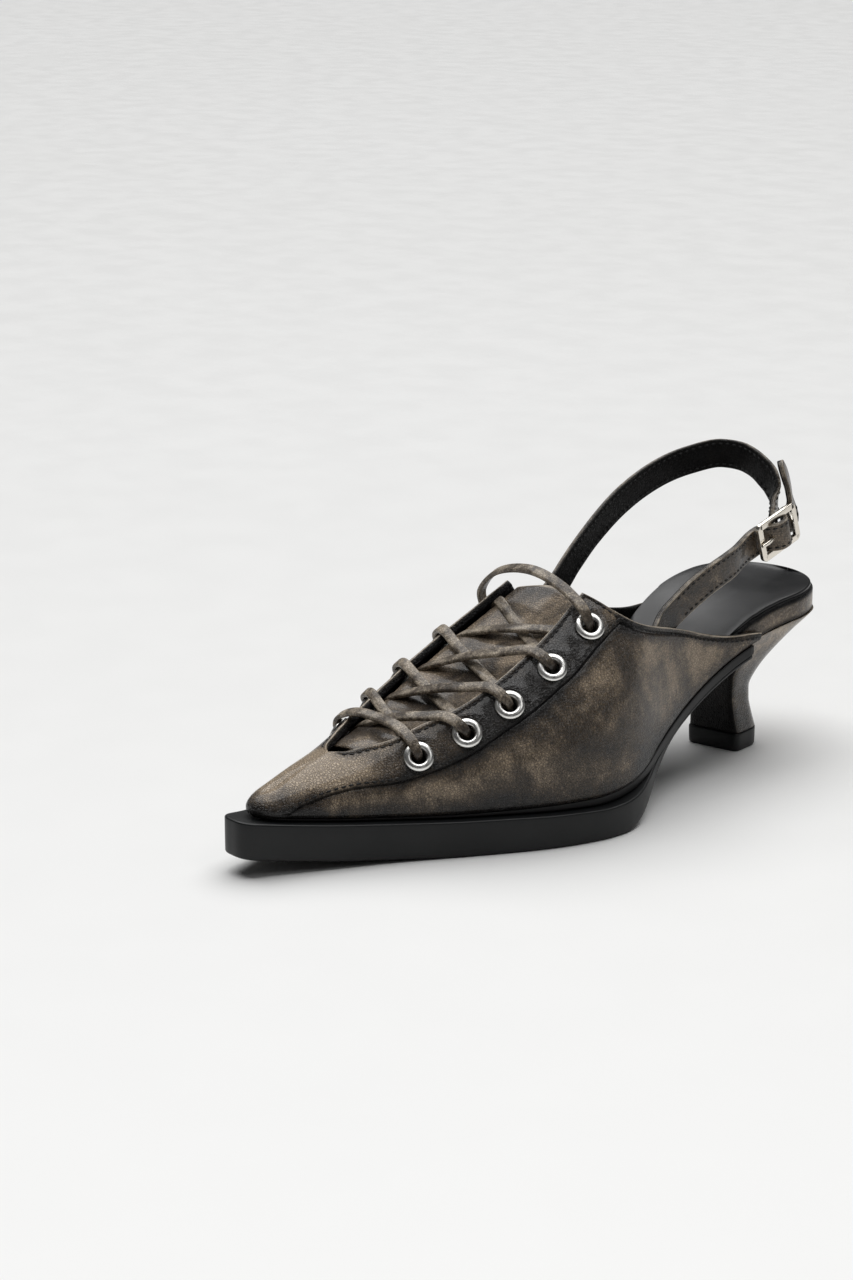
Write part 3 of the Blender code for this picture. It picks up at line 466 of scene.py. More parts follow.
def makeLeather(name, patchiness=1.0, patchScale=38.0, light=leatherLook["light"], depth=1.0,
                rough=(.30, .46)):
    look = leatherLook
    made, tree, shader = startMaterial(name)
    finish = addNode(tree, "ShaderNodeGroup", {"node_tree": antiqueGroup}, Tone=readAttribute(tree, "tone"),
                     Patchiness=patchiness, Patch_Scale=patchScale, Dark=look["dark"], Middle=look["middle"],
                     Light=light).outputs
    grain = addNode(tree, "ShaderNodeGroup", {"node_tree": grainGroup}, Cell_Scale=look["grain"],
                    Wrinkle=look["wrinkle"]).outputs
    color = blendColor(tree, calc(tree, "MULTIPLY", grain["Crevice"], look["crevice"]), finish["Color"],
                       look["dark"])
    # edges turn light where the edge attribute marks wear and where it marks a painted highlight
    frayed = noise(tree, objectPlace(tree), look["edgeScale"], 4.0)
    wearAndSheen = calc(tree, "MULTIPLY_ADD", frayed, look["edgeNoise"], readAttribute(tree, "edge"))
    color = blendColor(tree, mapRange(tree, wearAndSheen, *look["edgeFrom"]), color, look["edge"])
    ink = readAttribute(tree, "ink")
    roughness = mapRange(tree, finish["Rubbed"], .1, .9, *rough)
    plugAll(tree, shader, Base_Color=blendColor(tree, ink, color, look["ink"]),
            Roughness=calc(tree, "MULTIPLY_ADD", grain["Crevice"], look["creviceRough"], roughness),
            Normal=bump(tree, grain["Height"], .9, look["bump"] * depth),
            Coat_Weight=mapRange(tree, ink, 0, 1, look["coat"], look["inkCoat"]),
            Specular_IOR_Level=mapRange(tree, ink, 0, 1, look["shine"], look["inkShine"]),
            Coat_Roughness=look["coatRough"])
    return made


def makeRubber(name, color, rough, speck=.2, depth=.00003):
    made, tree, shader = startMaterial(name)
    place = objectPlace(tree)
    cloud = noise(tree, place, 45.0, 4.0)
    dust = mapRange(tree, noise(tree, place, 1900.0, 3.0, .7), .60, .78)
    tint = blendColor(tree, cloud, tinted(color, .8), tinted(color, 1.25))
    tint = blendColor(tree, calc(tree, "MULTIPLY", dust, speck), tint, tinted(color, 3))
    plugAll(tree, shader, Base_Color=tint,
            Roughness=mapRange(tree, cloud, .3, .7, rough - .05, rough + .06),
            Normal=bump(tree, noise(tree, place, 1400.0, 4.0, .6), .6, depth), Specular_IOR_Level=.34)
    return made


def makeMetal(name, color, rough):
    made, tree, shader = startMaterial(name)
    place = objectPlace(tree)
    smear = noise(tree, place, 520.0, 4.0)
    plugAll(tree, shader, Base_Color=blendColor(tree, smear, tinted(color, .93), color),
            Roughness=mapRange(tree, smear, .3, .7, rough - .04, rough + .07),
            Normal=bump(tree, noise(tree, place, 1300.0, 3.0), .25, .00003), Metallic=1.0)
    return made


upperLeather = makeLeather("upperLeather")
tongueLeather = makeLeather("tongueLeather", patchScale=50.0)
strapLeather = makeLeather("strapLeather", patchScale=90.0, patchiness=.8, depth=.5)
laceLeather = makeLeather("laceLeather", patchScale=150.0, patchiness=.8, light=(.50, .42, .32), depth=.35,
                          rough=(.36, .48))
coverLeather = makeLeather("coverLeather", patchScale=85.0, patchiness=.7, depth=.4, rough=(.22, .34))
sockLeather = makeRubber("sockLeather", (.0036, .0039, .0046), .33, .12, .00004)
soleRubber = makeRubber("soleRubber", (.0055, .0062, .0068), .42, .25)
midsoleRubber = makeRubber("midsoleRubber", (.004, .004, .0045), .45, .1)
threadFibre = makeRubber("threadFibre", (.006, .006, .006), .5, .3, .00002)
eyeletNickel = makeMetal("eyeletNickel", (.86, .85, .82), .30)
buckleNickel = makeMetal("buckleNickel", (.78, .73, .65), .18)


# tools for the meshes
weld = .0004 * mm  # points closer than this become one


def placeObject(name, data):
    made = bpy.data.objects.new(name, data)
    bpy.context.collection.objects.link(made)
    return made


def pointAt(made, direction):  # a camera or lamp that looks along the direction
    made.rotation_euler = direction.to_track_quat("-Z", "Y").to_euler()


def addPiece(name, points, faces, material, nodes=(), attributes=None, sharp=None):
    mesh = bpy.data.meshes.new(name)
    mesh.from_pydata(toWorld(points).tolist(), [], faces)
    for label, values in (attributes or {}).items():
        values = np.asarray(values, np.float32).ravel()
        mesh.attributes.new(label, "FLOAT", "POINT").data.foreach_set("value", values)
    work = bmesh.new()
    work.from_mesh(mesh)
    bmesh.ops.remove_doubles(work, verts=work.verts, dist=weld)
    bmesh.ops.dissolve_degenerate(work, edges=work.edges, dist=weld)
    bmesh.ops.recalc_face_normals(work, faces=work.faces)
    work.to_mesh(mesh)
    work.free()
    mesh.shade_smooth()
    if sharp:
        mesh.set_sharp_from_angle(angle=math.radians(sharp))
    mesh.materials.append(material)
    made = placeObject(name, mesh)
    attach(made, "root")
    if nodes:
        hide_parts(*nodes)
    return made


def gridFaces(rows, columns, start=0, loop=False):  # loop closes each row of points
    last = columns if loop else columns - 1
    return [(start + i * columns + j, start + (i + 1) * columns + j,
             start + (i + 1) * columns + (j + 1) % columns, start + i * columns + (j + 1) % columns)
            for i in range(rows - 1) for j in range(last)]


def tubeFaces(rings, count, start=0, closed=False):
    faces, last = gridFaces(rings, count, start, loop=True), start + (rings - 1) * count
    if closed:
        return faces + [(last + j, start + j, start + (j + 1) % count, last + (j + 1) % count)
                        for j in range(count)]
    return faces + [tuple(range(start, start + count)), tuple(range(last, last + count))[::-1]]


# each corner of an outline: its side across, its side out and its first angle
quarterTurns = ((1, 1, 0), (-1, 1, 90), (-1, -1, 180), (1, -1, 270))


def roundedOutline(width, thick, corner, steps=3):  # cross section of a strap, across and out
    return np.array([(sx * (width / 2 - corner) + corner * math.cos(a),
                      sy * (thick / 2 - corner) + corner * math.sin(a))
                     for sx, sy, first in quarterTurns
                     for a in np.radians(np.linspace(first, first + 90, steps + 1))])


def sweep(route, across, out, outline, narrow=np.ones(1)):
    return (route[:, None] + across[:, None] * outline[None, :, :1] * narrow[:, None, None]
            + out[:, None] * outline[None, :, 1:])


def smoothRoute(points, count):
    points = np.asarray(points, float)
    spans = walkedAlong(points)
    rows = {"along": spans / spans[-1], "x": points[:, 0], "y": points[:, 1], "z": points[:, 2]}
    return np.stack([follow(rows, axis, np.linspace(0, 1, count)) for axis in "xyz"], 1)


def aheadOf(route):
    return unit(np.gradient(route, axis=0))


def creased(points, normals, creases):
    # each crease: start, end, depth and half width; a low ridge runs beside it
    out = np.zeros(points.shape[:-1])
    for first, second, depth, width in creases:
        a, b = np.array(first, float), np.array(second, float)
        t = np.clip(((points - a) @ (b - a)) / ((b - a) @ (b - a)), 0, 1)
        away = np.linalg.norm(points - (a + t[..., None] * (b - a)), axis=-1)
        fade = np.sin(math.pi * np.clip(t, .04, .96)) ** .6
        out += depth * fade * (hill(away, 0, width) - .35 * hill(away, 1.9 * width, width))
    return points - normals * out[..., None]


stitchLook = {"length": 2.0, "space": 0.7, "radius": 0.30, "rings": 5, "sides": 6, "taper": .75, "sink": .9,
              "flat": 1.15, "proud": .12}


def stitchRow(name, route, normals):  # one capsule for each stitch along a route, half sunk in the leather
    look = stitchLook
    spans = walkedAlong(route)
    pitch = look["length"] + look["space"]
    shares = np.linspace(-.5, .5, look["rings"])
    points, faces = [], []
    for k in range(int(spans[-1] / pitch)):
        at = (k + .5) * pitch
        middle = np.array([[np.interp(at + s * look["length"], spans, route[:, c]) for c in range(3)]
                           for s in shares])
        out = unit(np.array([np.interp(at, spans, normals[:, c]) for c in range(3)]))
        sideways = unit(np.cross(middle[-1] - middle[0], out))
        for s, m in zip(shares, middle):
            size = look["radius"] * (1 - (abs(s) * 2) ** 3 * look["taper"])
            rise = look["proud"] - look["radius"] * (look["sink"] * (abs(s) * 2) ** 2)
            for a in np.linspace(0, 2 * math.pi, look["sides"], endpoint=False):
                beside = sideways * size * look["flat"] * math.cos(a)
                points.append(m + beside + out * (size * math.sin(a) + rise))
        faces += tubeFaces(look["rings"], look["sides"], len(points) - look["rings"] * look["sides"])
    return addPiece(name, points, faces, threadFibre)


print("stage: camera, floor and light")
view = {"lens": 84.375, "at": (770.5, -544.2, 351.8), "azimuth": 50.82, "down": 16.0, "sensor": (24, 36)}
camera = placeObject("camera", bpy.data.cameras.new("camera"))
camera.location = Vector(toWorld(view["at"]))
azimuth, down = math.radians(view["azimuth"]), math.radians(view["down"])
pointAt(camera, Vector((-math.sin(azimuth) * math.cos(down), math.cos(azimuth) * math.cos(down),
                        -math.sin(down))))
camera.data.sensor_fit = "VERTICAL"
camera.data.sensor_width, camera.data.sensor_height = view["sensor"]
camera.data.lens = view["lens"]
bpy.context.scene.camera = camera

floorLook = {"half": 40, "dark": (.80, .80, .79), "light": (.825, .825, .82), "specular": .08}
floorMesh = bpy.data.meshes.new("floor")
floorMesh.from_pydata([(x * floorLook["half"], y * floorLook["half"], 0) for x, y in
                       ((-1, -1), (1, -1), (1, 1), (-1, 1))], [], [(0, 1, 2, 3)])
floor = placeObject("floor", floorMesh)
floorPaper, floorTree, floorShader = startMaterial("floorPaper")
floorPlace = objectPlace(floorTree)
plugAll(floorTree, floorShader, Specular_IOR_Level=floorLook["specular"],
        Base_Color=blendColor(floorTree, noise(floorTree, floorPlace, 1.4, 2.0), floorLook["dark"],
                              floorLook["light"]),
        Roughness=mapRange(floorTree, noise(floorTree, floorPlace, 30.0, 3.0), .3, .7, .30, .36))
floorMesh.materials.append(floorPaper)

lamps = {"sky": .06, "sun": 3.5, "sunSize": 72, "sunAt": (-.27, .18, 1.0),
         "fillAt": (1.1, .1, 1.3), "fillTo": (0, 0, .04), "fillSize": .45, "fill": 1.4}
world = bpy.data.worlds.new("studio")
bpy.context.scene.world = world
world.use_nodes = True
plugAll(world.node_tree, world.node_tree.nodes["Background"], Color=(1, 1, 1), Strength=lamps["sky"])
sun = placeObject("overhead", bpy.data.lights.new("overhead", "SUN"))
pointAt(sun, -Vector(lamps["sunAt"]))
sun.data.angle = math.radians(lamps["sunSize"])
sun.data.energy = lamps["sun"]
fill = placeObject("frontFill", bpy.data.lights.new("frontFill", "AREA"))
fill.location = lamps["fillAt"]
pointAt(fill, Vector(lamps["fillTo"]) - Vector(lamps["fillAt"]))
fill.data.size = lamps["fillSize"]
fill.data.energy = lamps["fill"]
bpy.context.scene.view_settings.view_transform = "Standard"

print("stage: sole and insole")
slabLook = {"columns": 14, "cornerSteps": 6, "wallRows": (.25, .5, .75), "roomForRound": .45}


def slab(name, ys, lateral, medial, under, top, edges, material, slot, nodes, columns=slabLook["columns"],
         dish=None, attributes=None):
    # a layer with a rounded rim all round; edges are the radii under and above
    n, k = len(ys), columns

    def ring(values):  # one value for each point of the outline: up one side, across and back
        return np.concatenate([values, np.full(k - 1, values[-1]), values[::-1], np.full(k - 1, values[0])])

    shares = np.arange(1, k) / k
    x = np.concatenate([lateral, lateral[-1] + (-medial[-1] - lateral[-1]) * shares, -medial[::-1],
                        -medial[0] + (lateral[0] + medial[0]) * shares])
    plan = np.stack([x, ring(ys)], 1)
    tangent = np.roll(plan, -1, 0) - np.roll(plan, 1, 0)
    outward = unit(np.stack([tangent[:, 1], -tangent[:, 0]], 1))
    low, high = ring(under), ring(top)
    radiusLow, radiusHigh = (np.minimum(edge, slabLook["roomForRound"] * (high - low)) for edge in edges)
    turns = np.linspace(0, rightAngle, slabLook["cornerSteps"])
    rows = [(0, radiusLow * (1 - math.sin(a)), low + radiusLow * (1 - math.cos(a))) for a in turns]
    rows += [(share, 0 * low, low + radiusLow + (high - low - radiusLow - radiusHigh) * share)
             for share in slabLook["wallRows"]]
    rows += [(1, radiusHigh * (1 - math.sin(a)), high - radiusHigh * (1 - math.cos(a))) for a in turns[::-1]]
    count = len(plan)
    points = list(np.concatenate([np.column_stack([plan - outward * inset[:, None], z])
                                  for share, inset, z in rows]))
    rimShare = list(np.repeat([share for share, inset, z in rows], count))
    faces = gridFaces(len(rows), count, loop=True)
    for row, isTop in ((0, False), (len(rows) - 1, True)):  # the faces under and on top
        base = row * count
        index = np.zeros((n, k + 1), int)
        index[:, 0] = base + np.arange(n)
        index[:, k] = base + 2 * n + k - 2 - np.arange(n)
        index[n - 1, 1:k] = base + n + np.arange(k - 1)
        index[0, 1:k] = base + 2 * n + 2 * k - 3 - np.arange(k - 1)
        for i in range(1, n - 1):
            a, b = points[index[i, 0]], points[index[i, k]]
            for j in range(1, k):
                index[i, j] = len(points)
                hollow = dish(ys[i], j / k) if dish and isTop else 0
                points.append(a + (b - a) * j / k - np.array((0, 0, hollow)))
                rimShare.append(2 if isTop else -1)
        faces += [(index[i, j], index[i + 1, j], index[i + 1, j + 1], index[i, j + 1])
                  for i in range(n - 1) for j in range(k)]
    extra = {label: make(np.array(rimShare)) for label, make in (attributes or {}).items()}
    return addPiece(name, points, faces, material, nodes, extra)


def tipStations(start, end, radius, count, tipCount=18):  # places along a layer, close in its round tip
    tip = start + radius * (1 - np.cos(np.linspace(0, rightAngle, tipCount)))
    return np.concatenate([tip, np.linspace(start + radius, end, count)[1:]])


soleLook = {"stations": 150, "tipShare": .12, "power": 2.6, "edges": (1.0, .7)}
ys = tipStations(0, breast - shoe["gap"], bottom["soleTip"], soleLook["stations"])
at = ys / shoe["length"]
tip = soleLook["tipShare"] + (1 - soleLook["tipShare"]) * rounding(ys, bottom["soleTip"], soleLook["power"])
slab("outsole_visual", ys, *((halfWidth(side, at) + rimReach(at)) * tip for side in (outer, inner)),
     soleUnder(at), soleTop(at), soleLook["edges"], soleRubber, "sole_rubber", ["outsole"])

midsoleLook = {"start": bottom["toeFlange"] + 1.5, "stations": 130, "inset": 1.2, "insetTo": (.5, .62),
               "power": 2.6, "edges": (.3, .3)}
ys = tipStations(midsoleLook["start"], breast - shoe["gap"], shoe["toeRound"], midsoleLook["stations"])
at = ys / shoe["length"]
inset = midsoleLook["inset"] * (1 - ease(at, *midsoleLook["insetTo"]))
tip = rounding(ys - midsoleLook["start"], shoe["toeRound"], midsoleLook["power"])
slab("midsole_visual", ys,
     *((halfWidth(side, at) + leather["wall"] - inset) * tip for side in (outer, inner)),
     midsoleUnder(at), feather(at) - shoe["gap"], midsoleLook["edges"], midsoleRubber, "sole_rubber",
     ["midsole"])

seatLook = {"start": bottom["toeFlange"] + 2 * leather["wall"] + 4, "sockBack": 4, "frontRoom": .9,
            "frontOver": (.05, .3), "clear": .25, "nose": .2, "sharpest": .00015, "dishOver": (.62, .85),
            "footbedDish": 1.5, "sockDish": 1.3, "footbedEdges": (.6, 1.3), "sockEdges": (.2, .6),
            "tone": .66}


def innerHalves(along, height, margin):  # clear half widths inside the upper, and of the bare seat behind it
    out = []
    front = seatLook["frontRoom"] * (1 - ease(along, *seatLook["frontOver"]))
    for side in (outer, inner):
        point = skin(side, along, turnOfHeight(along, height))
        inside = np.abs(point[..., 0]) - leather["wall"] - margin - front - seatLook["clear"]
        out.append(np.where(along > upperEnd, halfWidth(side, along) - margin, inside))
    return out


def seatOutline(top, margin, start):
    back = shoe["length"] - shoe["heelRound"]
    ys = np.concatenate([tipStations(start, back, shoe["toeRound"], 120),
                         back + (shoe["heelRound"] - margin) * np.sin(np.linspace(0, rightAngle, 40)[1:])])
    at = ys / shoe["length"]
    lateral, medial = innerHalves(at, top(at) - feather(at), margin)
    nose = seatLook["nose"] + (1 - seatLook["nose"]) * rounding(ys - start, shoe["toeRound"])
    bend = np.clip((ys - back) / (shoe["heelRound"] - margin), 0, 1)
    shrink = nose * np.sqrt(np.maximum(1 - bend ** 2, seatLook["sharpest"]))
    middle, half = (lateral - medial) / 2, (lateral + medial) / 2 * shrink
    return ys, at, half + middle, half - middle


def seatInk(rim):  # black edge lines above and below the bronze rim
    return np.where((rim >= 1) & (rim < 1.5), 1.0, np.where(rim == 0, .85, 0))


def seatDish(depth):
    def dish(y, share):
        return depth * float(ease(y / shoe["length"], *seatLook["dishOver"])) * (1 - (2 * share - 1) ** 2)
    return dish


ys, at, lateral, medial = seatOutline(footbedTop, shoe["gap"], seatLook["start"])
slab("footbed_visual", ys, lateral, medial, feather(at), footbedTop(at), seatLook["footbedEdges"],
     coverLeather, "leather", ["footbed"], dish=seatDish(seatLook["footbedDish"]),
     attributes={"ink": seatInk, "tone": lambda rim: seatLook["tone"] + 0 * rim, "edge": lambda rim: 0 * rim})


def sockTop(along):
    return footbedTop(along) + shoe["gap"] + bottom["sock"]


ys, at, lateral, medial = seatOutline(sockTop, 4 * shoe["gap"], seatLook["start"] + seatLook["sockBack"])
slab("sock_visual", ys, lateral, medial, footbedTop(at) + shoe["gap"] * .2, sockTop(at),
     seatLook["sockEdges"], sockLeather, "sock_leather", ["sock_lining"], columns=18,
     dish=seatDish(seatLook["sockDish"]))

print("stage: heel")
heelLook = {"sides": 120, "levels": 60, "roundBack": 2.3, "squareFront": 9, "widest": (.92, .62),
            "breastFrom": -.45, "ink": .93, "corner": (-.55, .2), "cornerEdge": .62,
            "tone": .34, "seatSheen": .35, "seatSheenFrom": (28, 48), "cornerTone": .25, "wrinkles": (
                ((12, 238, 19), (9, 243, 15), .22, .9), ((13, 236, 23), (10, 245, 21), .16, .8),
                ((14, 236, 28), (8, 247, 30), .14, 1.2), ((9, 245, 12), (4, 248, 17), .12, .9))}
# the rubber under the heel: each ring's height and how far it stands out
liftRings = ((0, -.5), (.25, -.1), (.6, .15), (3.5, .25), (bottom["topPiece"] - .5, .3),
             (bottom["topPiece"] - .1, .15), (bottom["topPiece"] + .1, -.3))


def heelRing(up, grow):
    a = np.linspace(0, 2 * math.pi, heelLook["sides"], endpoint=False)
    front, back = (shoe["length"] - bottom["seatLength"] * follow(heelRows, end, up)
                   for end in ("front", "back"))
    half = bottom["seatWidth"] * follow(heelRows, "half", up) + grow
    widest = back - min(heelLook["widest"][0] * half, heelLook["widest"][1] * (back - front))
    behind = np.sin(a) > 0
    power = 2 / np.where(behind, heelLook["roundBack"], heelLook["squareFront"])
    x = half * np.sign(np.cos(a)) * np.abs(np.cos(a)) ** power
    length = np.where(behind, back - widest, widest - front) + grow
    y = length * np.sign(np.sin(a)) * np.abs(np.sin(a)) ** power
    turn = math.radians(bottom["heelTurn"]) * follow(heelRows, "turn", up)
    middle = bottom["seatWidth"] * follow(heelRows, "side", up)
    return np.stack([middle + x * math.cos(turn) - y * math.sin(turn),
                     widest + x * math.sin(turn) + y * math.cos(turn)], 1)


def buildHeel():
    look, count = heelLook, heelLook["sides"]
    low = bottom["topPiece"] + shoe["gap"]
    rings = []
    for up in np.linspace(0, 1, look["levels"]):
        plan = heelRing(up, 0)
        top = feather(plan[:, 1] / shoe["length"]) - shoe["gap"]
        rings.append(np.column_stack([plan, low + up * (top - low)]))
    points = np.array(rings)
    outward = unit(np.cross(np.roll(points, -1, 1) - np.roll(points, 1, 1), np.gradient(points, axis=0)))
    points = creased(points, outward, look["wrinkles"]).reshape(-1, 3)
    facing = outward.reshape(-1, 3)[:, 1]
    breastFace = (facing < look["breastFrom"]).astype(float)  # the breast is plain black
    corner = hill(facing, *look["corner"]) * (points[:, 0] > 0)
    # lighter toward the seat: a painted highlight on the flare that turns up under the seat
    tone = look["tone"] + look["seatSheen"] * ease(points[:, 2], *look["seatSheenFrom"])
    tone = tone + look["cornerTone"] * corner
    addPiece("heel_cover", points, tubeFaces(look["levels"], count), coverLeather, ["heel_block"],
             {"ink": breastFace * look["ink"], "tone": tone, "edge": corner * look["cornerEdge"]})
    rings = [np.column_stack([heelRing(0, grow), np.full(count, float(z))]) for z, grow in liftRings]
    addPiece("heel_lift", np.concatenate(rings), tubeFaces(len(rings), count), soleRubber,
             ["heel_top_piece"], sharp=50)


buildHeel()

print("stage: upper")
eyeletRows = table("along over", (.231, 1.03), (.292, 1.26), (.350, 1.395), (.416, 1.43), (.484, 1.37))
eyeletLook = {"face": 5.2, "hole": 2.6, "wall": .5, "clear": .4, "sides": 48}
eyeletCount = len(eyeletRows["along"])
everyEyelet = [(side, number) for side in (outer, inner) for number in range(eyeletCount)]


def eyeletPlace(number, side):  # column, and reach over the leather
    along, reach = (float(eyeletRows[label][number]) for label in ("along", "over"))
    return along, side * leather["throatHalf"] * reach


def eyeletSpot(side, number):
    return over(*eyeletPlace(number, side))


# where the finish is rubbed light or stays dark: y, share of the way up, spreads and strength. The light
# spots at y 185 and 205 are a painted highlight for the sheen along the waist's lower edge; the light toe
# spots (y 9 to 37) are partly rubbed finish and partly a painted highlight on the toe's top
rubbedSpotsAndSheen = ((30, .95, 12, .35, .62), (37, .62, 9, .25, .35), (18, .8, 8, .5, .25),
               (52, .30, 12, .12, .15), (60, .62, 8, .16, -.25), (95, .85, 28, .13, -.42),
               (122, .85, 22, .15, -.38), (82, .40, 16, .16, .22), (128, .45, 22, .22, .24),
               (152, .80, 12, .13, .52), (150, .35, 14, .2, .1), (108, .25, 12, .12, -.12),
               (185, .6, 16, .4, .22), (205, .6, 14, .5, .2), (140, .62, 8, .12, -.1),
               (9, .5, 4, .9, .05))
foldedCreases = {
    outer: (((16, 46, 43), (21, 44, 30), .25, 1.6), ((22, 60, 44), (29, 62, 30), .22, 2.0),
            ((30, 92, 47), (40, 100, 27), .28, 3.2), ((36, 118, 52), (45, 124, 26), .30, 4.0),
            ((30, 150, 48), (33, 166, 30), .22, 3.5), ((31, 132, 62), (38, 141, 46), .2, 2.6)),
    inner: (((-16, 46, 43), (-21, 46, 30), .25, 1.6), ((-24, 66, 40), (-29, 66, 28), .22, 2.2),
            ((-27, 96, 47), (-31, 104, 27), .28, 3.2), ((-26, 120, 52), (-29, 128, 28), .30, 4.0))}
upperLook = {"tipColumns": 18, "toeColumns": 30, "notchColumns": 12, "notch": .166, "notchPower": 1.7,
             "throatColumns": 112, "rearColumns": 100, "rearClosed": 14,
             "footRows": (0, .3, .7, 1.3, 2), "panelRows": 26, "stayRows": 30, "insideRows": 34,
             "underSeam": (2.2, 1.5, .9, .5, .25, .08),
             "overSeam": (.08, .2, .35, .55, .8, 1.2, 1.7, 2.4, 3.2),
             "underEdge": (3.2, 2.5, 1.9, 1.4, 1.0, .6, .25, 0), "seamRoom": 8, "edgeRoom": 12,
             "stepFrom": (.055, .07), "stepTo": (.535, .56), "stitchFrom": (.06, .09),
             "stitchTo": (.535, .55),
             "throatOpen": 3, "seamRound": .5, "lipPower": .55, "lipThick": .2, "outsideLift": -1.9}
# hills and grooves in the leather: place, spread and height
upperRelief = {"seamStitch": (1.3, .55, -.16), "seamFold": (-.1, .5, -.4), "edgeStitch": (2.3, .5, -.14),
               "edgePad": (.9, 1.0, .30), "eyeletPad": (7.2, 1.8, .28), "eyeletPress": (0, 4, -.1),
               "footHeight": 2.2, "footDraw": .55}
# the marks that its finish reads: lighter or darker, worn edges with a painted highlight on the flap's
# rounded lip, and black ink
upperMarks = {"tone": .48, "underSeamTone": (-1.2, 2.0, -.22), "overSeamTone": (1.6, 1.6, -.20),
              "footTone": .45, "footAt": (1, 9), "footWidens": (10, 60), "footUntil": (165, 200),
              "topWorn": (0, .7), "lipHighlight": (.45, .75), "seamWorn": (.35, .35, .55),
              "seamWornFrom": (.05, .08),
              "seamInk": (.1, .62, .9), "seamInkFrom": (.05, .065), "seamInkTo": (.54, .56),
              "topInk": (1.9, .5, .75), "lipInk": (1.0, 1.5), "footInkHeight": 1.6, "footInk": .8}


def upperColumns():
    look = upperLook
    start = bottom["toeFlange"] / shoe["length"]
    tipEnd = (bottom["toeFlange"] + shoe["toeRound"]) / shoe["length"]
    tip = start + (tipEnd - start) * (1 - np.cos(np.linspace(0, rightAngle, look["tipColumns"])))
    shares = np.linspace(0, 1, look["notchColumns"]) ** look["notchPower"]
    notch = throatStart + (look["notch"] - throatStart) * shares
    return np.concatenate([tip, np.linspace(tipEnd, throatStart, look["toeColumns"])[1:], notch[1:],
                           np.linspace(look["notch"], throatEnd, look["throatColumns"])[1:],
                           np.linspace(throatEnd, upperEnd, look["rearColumns"])[1:]])


def upperColumn(side, along):  # one column of points, up the outside, over the lip and down the inside
    look, relief, mark, wall = upperLook, upperRelief, upperMarks, leather["wall"]
    turns, walked, seamArc, topArc = columnArcs(side, along)
    openness = float(np.clip(throat(along) / look["throatOpen"], 0, 1)) if along <= throatEnd else 1.0
    lip = leather["lip"] * openness
    low, high = min(1, seamArc / look["seamRoom"]), min(1, (topArc - seamArc) / look["edgeRoom"])
    rows = np.concatenate([
        np.array(look["footRows"]) * low, np.linspace(2 * low, seamArc - 3 * low, look["panelRows"])[1:],
        seamArc - np.array(look["underSeam"]) * low, seamArc + np.array(look["overSeam"]) * high,
        np.linspace(seamArc + 4 * high, topArc - 4 * high - lip, look["stayRows"]),
        topArc - lip - np.array(look["underEdge"]) * high])
    toSeam, toEdge = rows - seamArc, topArc - rows
    lowStep = leather["step"] * (1 - ease(along, *look["stepFrom"]))
    highStep = leather["step"] * (1 - ease(along, *look["stepTo"]))
    climb = (highStep - lowStep) * rounding(toSeam, look["seamRound"] * high + .01)
    panel = lowStep + np.where(toSeam < 0, 0, climb)
    stitched = high * ease(along, *look["stitchFrom"]) * (1 - ease(along, *look["stitchTo"]))
    panel += hill(toSeam, *relief["seamStitch"]) * stitched + hill(toSeam, *relief["seamFold"]) * low
    panel += (hill(toEdge, *relief["edgePad"]) + hill(toEdge, *relief["edgeStitch"])) * openness * high
    panel -= relief["footDraw"] * (1 - np.clip(rows / relief["footHeight"], 0, 1)) ** 2
    angles = np.linspace(0, math.pi, 11)[1:]
    halfThick = (highStep + look["lipThick"] * openness + wall) / 2
    bend = np.sign(np.cos(angles)) * np.abs(np.cos(angles)) ** look["lipPower"]
    inside = np.linspace(topArc - lip, 0, look["insideRows"])[1:]
    arcs = np.concatenate([rows, topArc - lip + lip * np.abs(np.sin(angles)) ** look["lipPower"], inside])
    lift = np.concatenate([panel, halfThick - wall + halfThick * bend, np.full(len(inside), -wall)])
    # the top edge is worn light; the light line on the lip's rounded outer face is a painted highlight
    wearAndSheen = [hill(toEdge, *mark["topWorn"]), hill(angles, *mark["lipHighlight"]), 0 * inside]
    edge = np.concatenate(wearAndSheen) * openness
    edge[:len(rows)] += hill(toSeam, *mark["seamWorn"]) * float(ease(along, *mark["seamWornFrom"]))
    seamShown = float(ease(along, *mark["seamInkFrom"]) * (1 - ease(along, *mark["seamInkTo"])))
    lines = hill(toSeam, *mark["seamInk"]) * seamShown + hill(toEdge, *mark["topInk"]) * openness
    footInk = np.clip(1 - rows / mark["footInkHeight"], 0, 1) * mark["footInk"]
    ink = np.concatenate([lines + footInk, ease(angles, *mark["lipInk"]) * openness, 1 + 0 * inside])
    beyondSeam = np.concatenate([toSeam, np.full(len(arcs) - len(rows), 99)])
    marks = np.stack([arcs / max(topArc, .1), np.clip(edge, 0, 1), np.clip(ink, 0, 1), arcs, beyondSeam], 1)
    return np.full(len(arcs), along), np.interp(arcs, walked, turns), lift, marks, (len(rows), len(angles))


